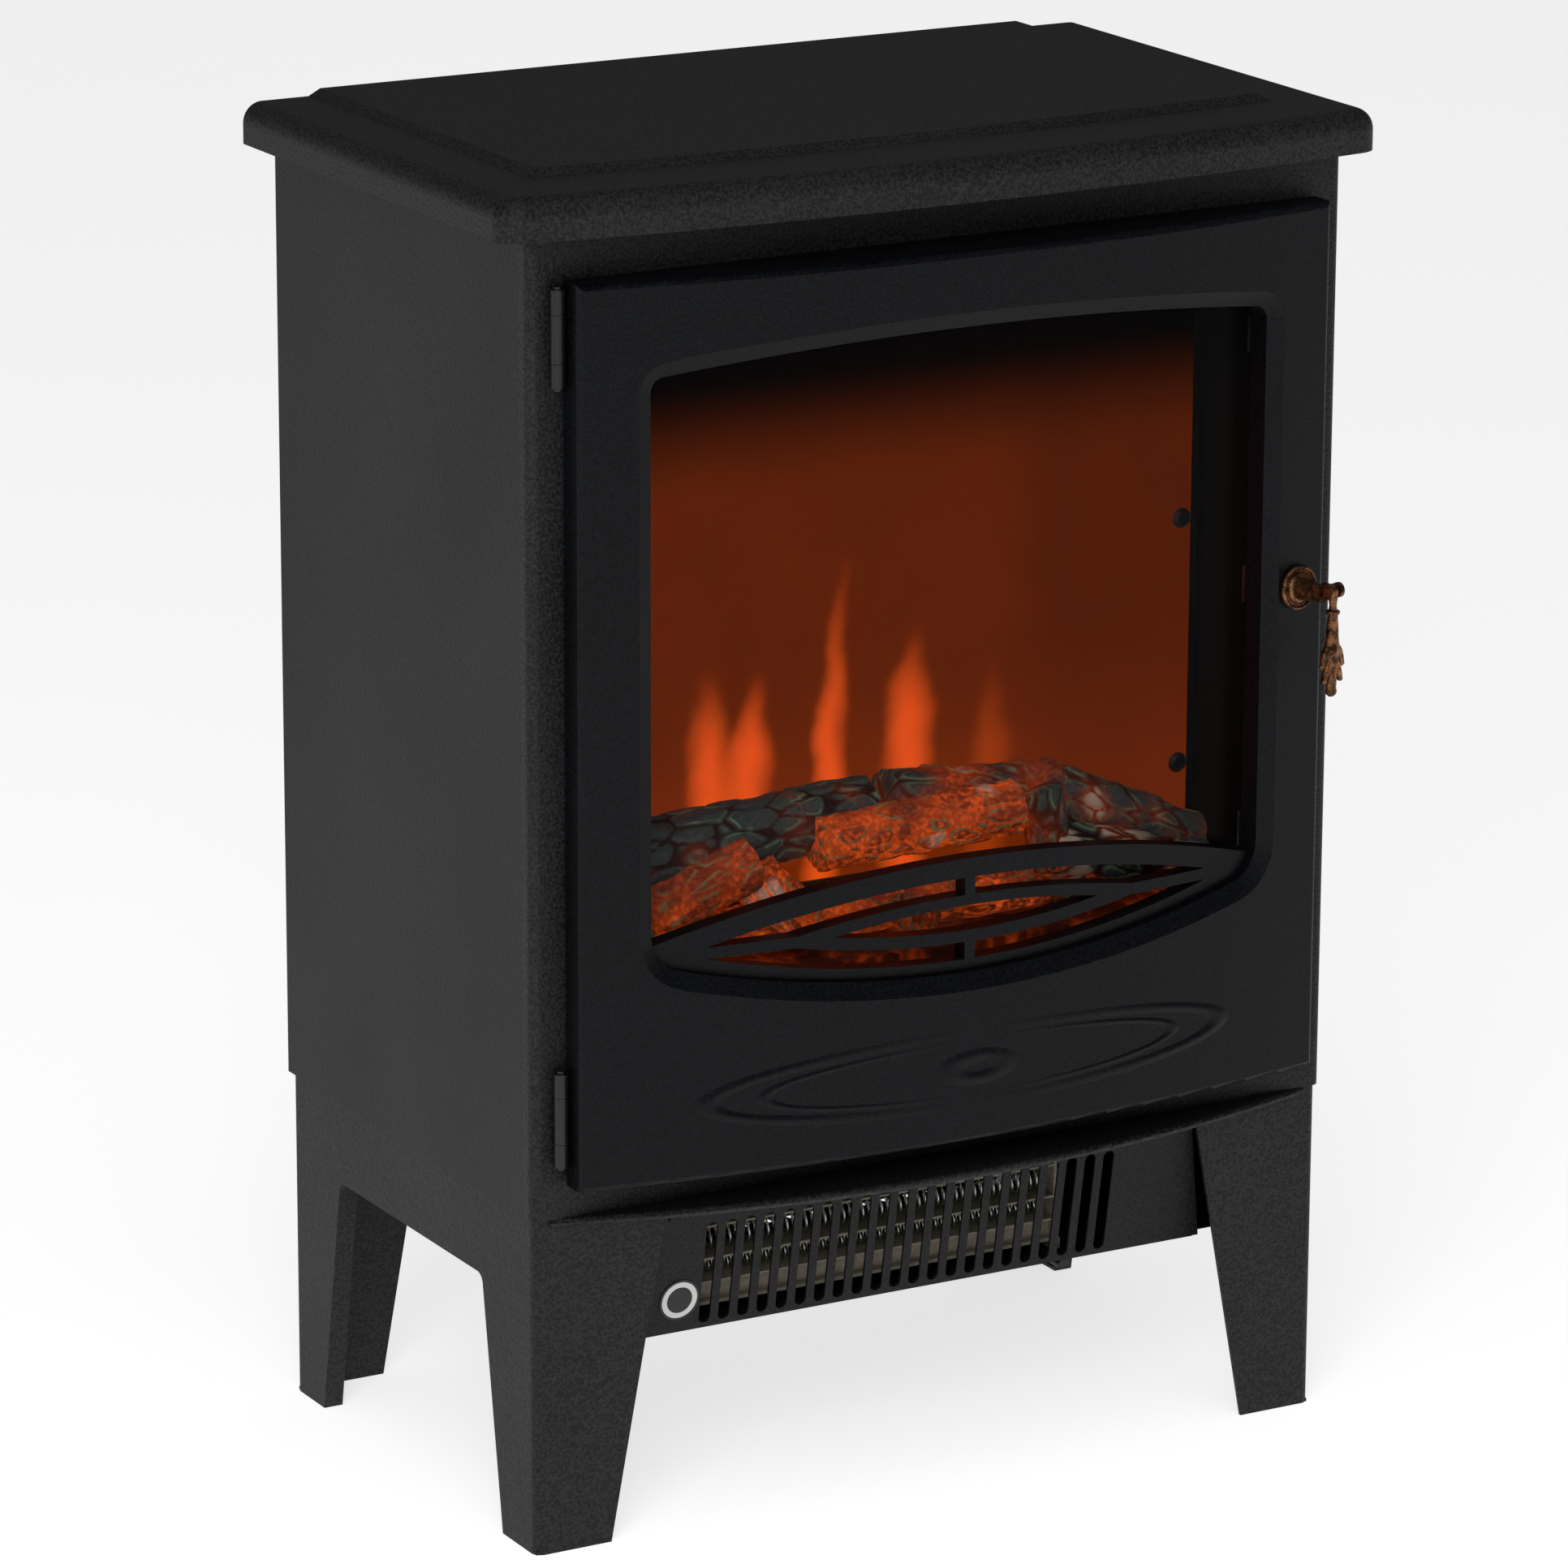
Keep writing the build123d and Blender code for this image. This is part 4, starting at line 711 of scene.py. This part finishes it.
def rosette():
    place = set_out(ACROSS, UP, OUT, PIVOT - OUT * PIVOT_OUT - UP * PIVOT_UP)
    mesh = bmesh.new()
    turned(mesh, ROSETTE, ROSETTE_STEPS)
    for i in range(BEADS):
        spin = Matrix.Rotation(math.tau * i / BEADS, 4, "Z")
        spot = spin @ Matrix.Translation((BEAD_CIRCLE, 0, BEAD_HEIGHT))
        bmesh.ops.create_icosphere(mesh, subdivisions=2, radius=BEAD_RADIUS, matrix=spot)
    bmesh.ops.transform(mesh, matrix=place, verts=mesh.verts)
    return piece("beaded_rosette", mesh, "door", "copper_bronze", "handle_rosette")


rosette()

# %% [markdown]
# The drop is a stem with a rounded head round the pin, a collar below it, and two pairs of leaves that
# spread from it. Each is a row of ellipses bridged into a skin, and the second leaf of a pair mirrors
# the first.

# %% Drop
# each entry is an ellipse: (across, out, down, half width, half thickness), in mm from the pivot
STEM = ((0, 0, -3.0, 1.2, 1.0), (0, 0, -2.4, 2.3, 1.9), (0, 0, 0, 3.0, 2.4), (0, 0, 3.0, 2.2, 1.9),
        (0, 0, 6.5, 1.6, 1.6), (0, 0, 8.4, 1.9, 1.9), (0, 0, 8.8, 3.0, 3.0), (0, 0, 9.6, 3.2, 3.2),
        (0, 0, 10.3, 2.7, 2.7), (0, 0, 11.0, 2.2, 2.2), (0, 0, 15.0, 2.7, 2.5), (0, 0, 20.0, 2.9, 2.6),
        (0, 0, 24.0, 3.6, 2.8), (0, 0, 28.0, 4.0, 2.7), (0, 0, 33.0, 3.0, 2.4), (0, 0, 38.0, 2.6, 2.3),
        (0, 0, 43.0, 2.3, 2.1), (0, 0, 44.6, 2.7, 2.4), (0, 0, 45.8, 2.4, 2.1), (0, 0, 46.8, 1.2, 1.1))
UPPER_LEAF = ((2.2, 0, 23.5, 1.3, 1.5), (3.8, 0, 26.5, 1.7, 1.8), (4.9, 0, 30.0, 1.7, 1.7),
              (5.5, 0, 32.0, 1.4, 1.5), (5.7, 0, 33.0, 1.5, 1.5), (5.8, 0, 34.0, 0.7, 0.7))
LOWER_LEAF = ((1.8, 0.3, 30.0, 1.3, 1.5), (3.0, 0.3, 33.5, 1.6, 1.7), (4.0, 0.3, 37.0, 1.6, 1.6),
              (4.5, 0.3, 39.0, 1.3, 1.4), (4.7, 0.3, 39.9, 1.4, 1.4), (4.8, 0.3, 40.6, 0.7, 0.7))
STEM_SIDES = 28
LEAF_SIDES = 18


def mirrored(leaf):
    return [(-x, y, z, half_x, half_y) for x, y, z, half_x, half_y in leaf]


def drop():
    place = set_out(ACROSS, OUT, -UP, PIVOT)
    mesh = bmesh.new()
    lofted(mesh, STEM, STEM_SIDES, place)
    for leaf in (UPPER_LEAF, LOWER_LEAF):
        lofted(mesh, leaf, LEAF_SIDES, place)
        lofted(mesh, mirrored(leaf), LEAF_SIDES, place)
    return piece("cast_drop", mesh, "handle_drop", "copper_bronze", "handle_drop")


drop()

# %% [markdown]
# The lower part of the door has three shallow ovals pressed into the sheet. They have no edges, only
# slopes that catch the light at their ends. Each is a row of ellipses bridged into a band and laid on
# the bow of the door. It is highest half way across the band and, but for the middle one, at its ends.

# %% Apron pressings
# half width and half height of the outer and the inner edge, and the rise, in mm, and then the share of
# that rise which is left on the long sides
PRESSINGS = (
    ((134, 19.5), (119, 12.5), 1.1, 0.12),
    ((106, 14.0), (96, 10.2), 0.8, 0.12),
    ((23, 9.0), (3, 1.2), 0.9, 1.0),
)
PRESSING_HEIGHT = 198.0
DOOR_BOW = 18.0
BAND_RINGS = 12
OVAL_POINTS = 144
SUNK = 0.12

door_low, door_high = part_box("door_panel")
DOOR_HALF = (door_high.x - door_low.x) / 2 / MM
BOW_RADIUS = (DOOR_HALF ** 2 + DOOR_BOW ** 2) / (2 * DOOR_BOW)


def door_face(x):
    """How far back the bowed face of the door lies at x, in mm."""
    return door_low.y / MM + BOW_RADIUS - math.sqrt(BOW_RADIUS ** 2 - x ** 2)


def pressings():
    mesh = bmesh.new()
    for outer, inner, rise, side_share in PRESSINGS:
        rings = []
        for i in range(BAND_RINGS + 1):
            share = i / BAND_RINGS
            half_x = outer[0] + (inner[0] - outer[0]) * share
            half_z = outer[1] + (inner[1] - outer[1]) * share
            ring = bmesh.ops.create_circle(mesh, segments=OVAL_POINTS, radius=1.0)["verts"]
            for v in ring:
                ends = side_share + (1 - side_share) * abs(v.co.x) ** 1.5
                height = rise * ends * math.sin(math.pi * share) ** 2 - SUNK
                x = v.co.x * half_x
                v.co = (x, door_face(x) - height, PRESSING_HEIGHT + v.co.y * half_z)
            rings.append(ring)
        for first, second in zip(rings, rings[1:] + rings[:1]):
            bmesh.ops.bridge_loops(mesh, edges=ring_edges(first) + ring_edges(second))
    bmesh.ops.scale(mesh, vec=(MM, MM, MM), verts=mesh.verts)
    return piece("apron_pressings", mesh, "door", "door_black")


pressings()

# %% [markdown]
# The heating element is thin wire wound in three long coils. A coil is a small circle spun round an
# axis while it also moves along it, which the spin operator does when it is given a step.

# %% Heating wire
WIRE_RADIUS = 0.42
WIRE_SIDES = 5
COIL_PITCH = 3.14
COIL_MARGIN = 1.2
TURN_STEPS = 14
# height and radius of each coil, in mm
COILS = ((105.2, 3.3), (117.7, 5.3), (129.0, 2.3))


def coils():
    low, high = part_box("heating_coil")
    length = (high.x - low.x) / MM - 2 * COIL_MARGIN
    turns = int(length / COIL_PITCH)
    middle_y = (low.y + high.y) / 2 / MM
    mesh = bmesh.new()
    for height, radius in COILS:
        at = Vector((low.x / MM + COIL_MARGIN, middle_y, height))
        start = Matrix.Translation(at + Vector((0, radius, 0)))
        ring = bmesh.ops.create_circle(
            mesh, segments=WIRE_SIDES, radius=WIRE_RADIUS, matrix=start)["verts"]
        step = Vector((COIL_PITCH / TURN_STEPS, 0, 0))
        bmesh.ops.spin(
            mesh, geom=ring + ring_edges(ring), cent=at, axis=(1, 0, 0), dvec=step,
            angle=math.tau * turns, steps=turns * TURN_STEPS, use_merge=False)
    bmesh.ops.holes_fill(mesh, edges=[e for e in mesh.edges if e.is_boundary], sides=0)
    bmesh.ops.scale(mesh, vec=(MM, MM, MM), verts=mesh.verts)
    return piece("wound_wire", mesh, "cabinet", "heating_wire", "heating_coil")


coils()

# %% [markdown]
# The picture is a plain product shot on a wide pale floor. The floor glows a little, like a lit table,
# which keeps it nearly white without a strong lamp.

# %% Floor
WHITE = (1.0, 1.0, 1.0, 1.0)
FLOOR_SIZE = 8.0
FLOOR_GLOW = 0.72


def studio_floor():
    pale = Finish("studio_white")
    cloud = pale.noise(0.8)
    pale.surface(
        Base_Color=pale.mix(cloud, colour(246, 246, 246), colour(250, 250, 250)),
        Roughness=0.9,
        Specular_IOR_Level=0.1,
        Emission_Color=WHITE,
        Emission_Strength=FLOOR_GLOW,
    )
    mesh = bmesh.new()
    bmesh.ops.create_grid(mesh, x_segments=1, y_segments=1, size=FLOOR_SIZE)
    data = bpy.data.meshes.new("studio_floor")
    mesh.to_mesh(data)
    mesh.free()
    data.materials.append(pale.material)
    floor = bpy.data.objects.new("studio_floor", data)
    bpy.context.scene.collection.objects.link(floor)


studio_floor()
print("floor reaches", FLOOR_SIZE, "m each way")

# %% [markdown]
# Black paint shows mostly what it mirrors, so a white room would turn it grey. The surround is therefore
# white to the camera but dim as a light. One large lamp from the upper left gives the shapes a bright
# side, and a second one from above brightens the lid.

# %% Lights
ROOM_LIGHT = 0.13
MIDDLE = (CAD_BOX[0] + CAD_BOX[1]) / 2


def studio_surround():
    surround = bpy.data.worlds.new("studio")
    surround.use_nodes = True
    sky = surround.node_tree
    backdrop = sky.nodes["Background"]
    backdrop.inputs["Color"].default_value = WHITE
    room = sky.nodes.new("ShaderNodeBackground")
    room.inputs["Color"].default_value = WHITE
    room.inputs["Strength"].default_value = ROOM_LIGHT
    seen = sky.nodes.new("ShaderNodeLightPath")
    choice = sky.nodes.new("ShaderNodeMixShader")
    sky.links.new(seen.outputs["Is Camera Ray"], choice.inputs[0])
    sky.links.new(room.outputs[0], choice.inputs[1])
    sky.links.new(backdrop.outputs[0], choice.inputs[2])
    sky.links.new(choice.outputs[0], sky.nodes["World Output"].inputs["Surface"])
    return surround


def soft_light(name, offset, size, power):
    """A square lamp that looks at the middle of the object."""
    lamp = bpy.data.lights.new(name, "AREA")
    lamp.size = size
    lamp.energy = power
    made = bpy.data.objects.new(name, lamp)
    made.location = MIDDLE + Vector(offset)
    made.rotation_euler = (-Vector(offset)).to_track_quat("-Z", "Y").to_euler()
    bpy.context.scene.collection.objects.link(made)


bpy.context.scene.world = studio_surround()
bpy.context.scene.view_settings.view_transform = "Standard"
soft_light("key", (-1.5, -1.9, 1.3), 1.2, 17)
soft_light("top", (-0.5, -1.0, 2.3), 1.4, 10)
print("two lamps and a room of strength", ROOM_LIGHT)

# %% [markdown]
# A long lens far away keeps the upright edges nearly parallel. The camera stands to the left of the
# front and a little above it, and its three axes are built from those angles and a slight roll.

# %% Camera
AIM = Vector((-0.00741, 0.02507, 0.28505))
DISTANCE = 3.34152
AROUND = math.radians(-29.357)
ABOVE = math.radians(15.826)
ROLL = math.radians(0.22)
FOCAL_LENGTH = 174.64

back = Vector((
    math.sin(AROUND) * math.cos(ABOVE), -math.cos(AROUND) * math.cos(ABOVE), math.sin(ABOVE)))
level_right = (-back).cross(UP).normalized()
level_up = level_right.cross(-back)
right = level_right * math.cos(ROLL) + level_up * math.sin(ROLL)
upward = level_up * math.cos(ROLL) - level_right * math.sin(ROLL)
camera = bpy.data.objects.new("camera", bpy.data.cameras.new("camera"))
camera.matrix_world = (
    Matrix.Translation(AIM + back * DISTANCE) @ Matrix((right, upward, back)).transposed().to_4x4())
camera.data.lens = FOCAL_LENGTH
camera.data.clip_end = 100.0
bpy.context.scene.collection.objects.link(camera)
bpy.context.scene.camera = camera
print("camera at", [round(value, 3) for value in camera.matrix_world.translation])
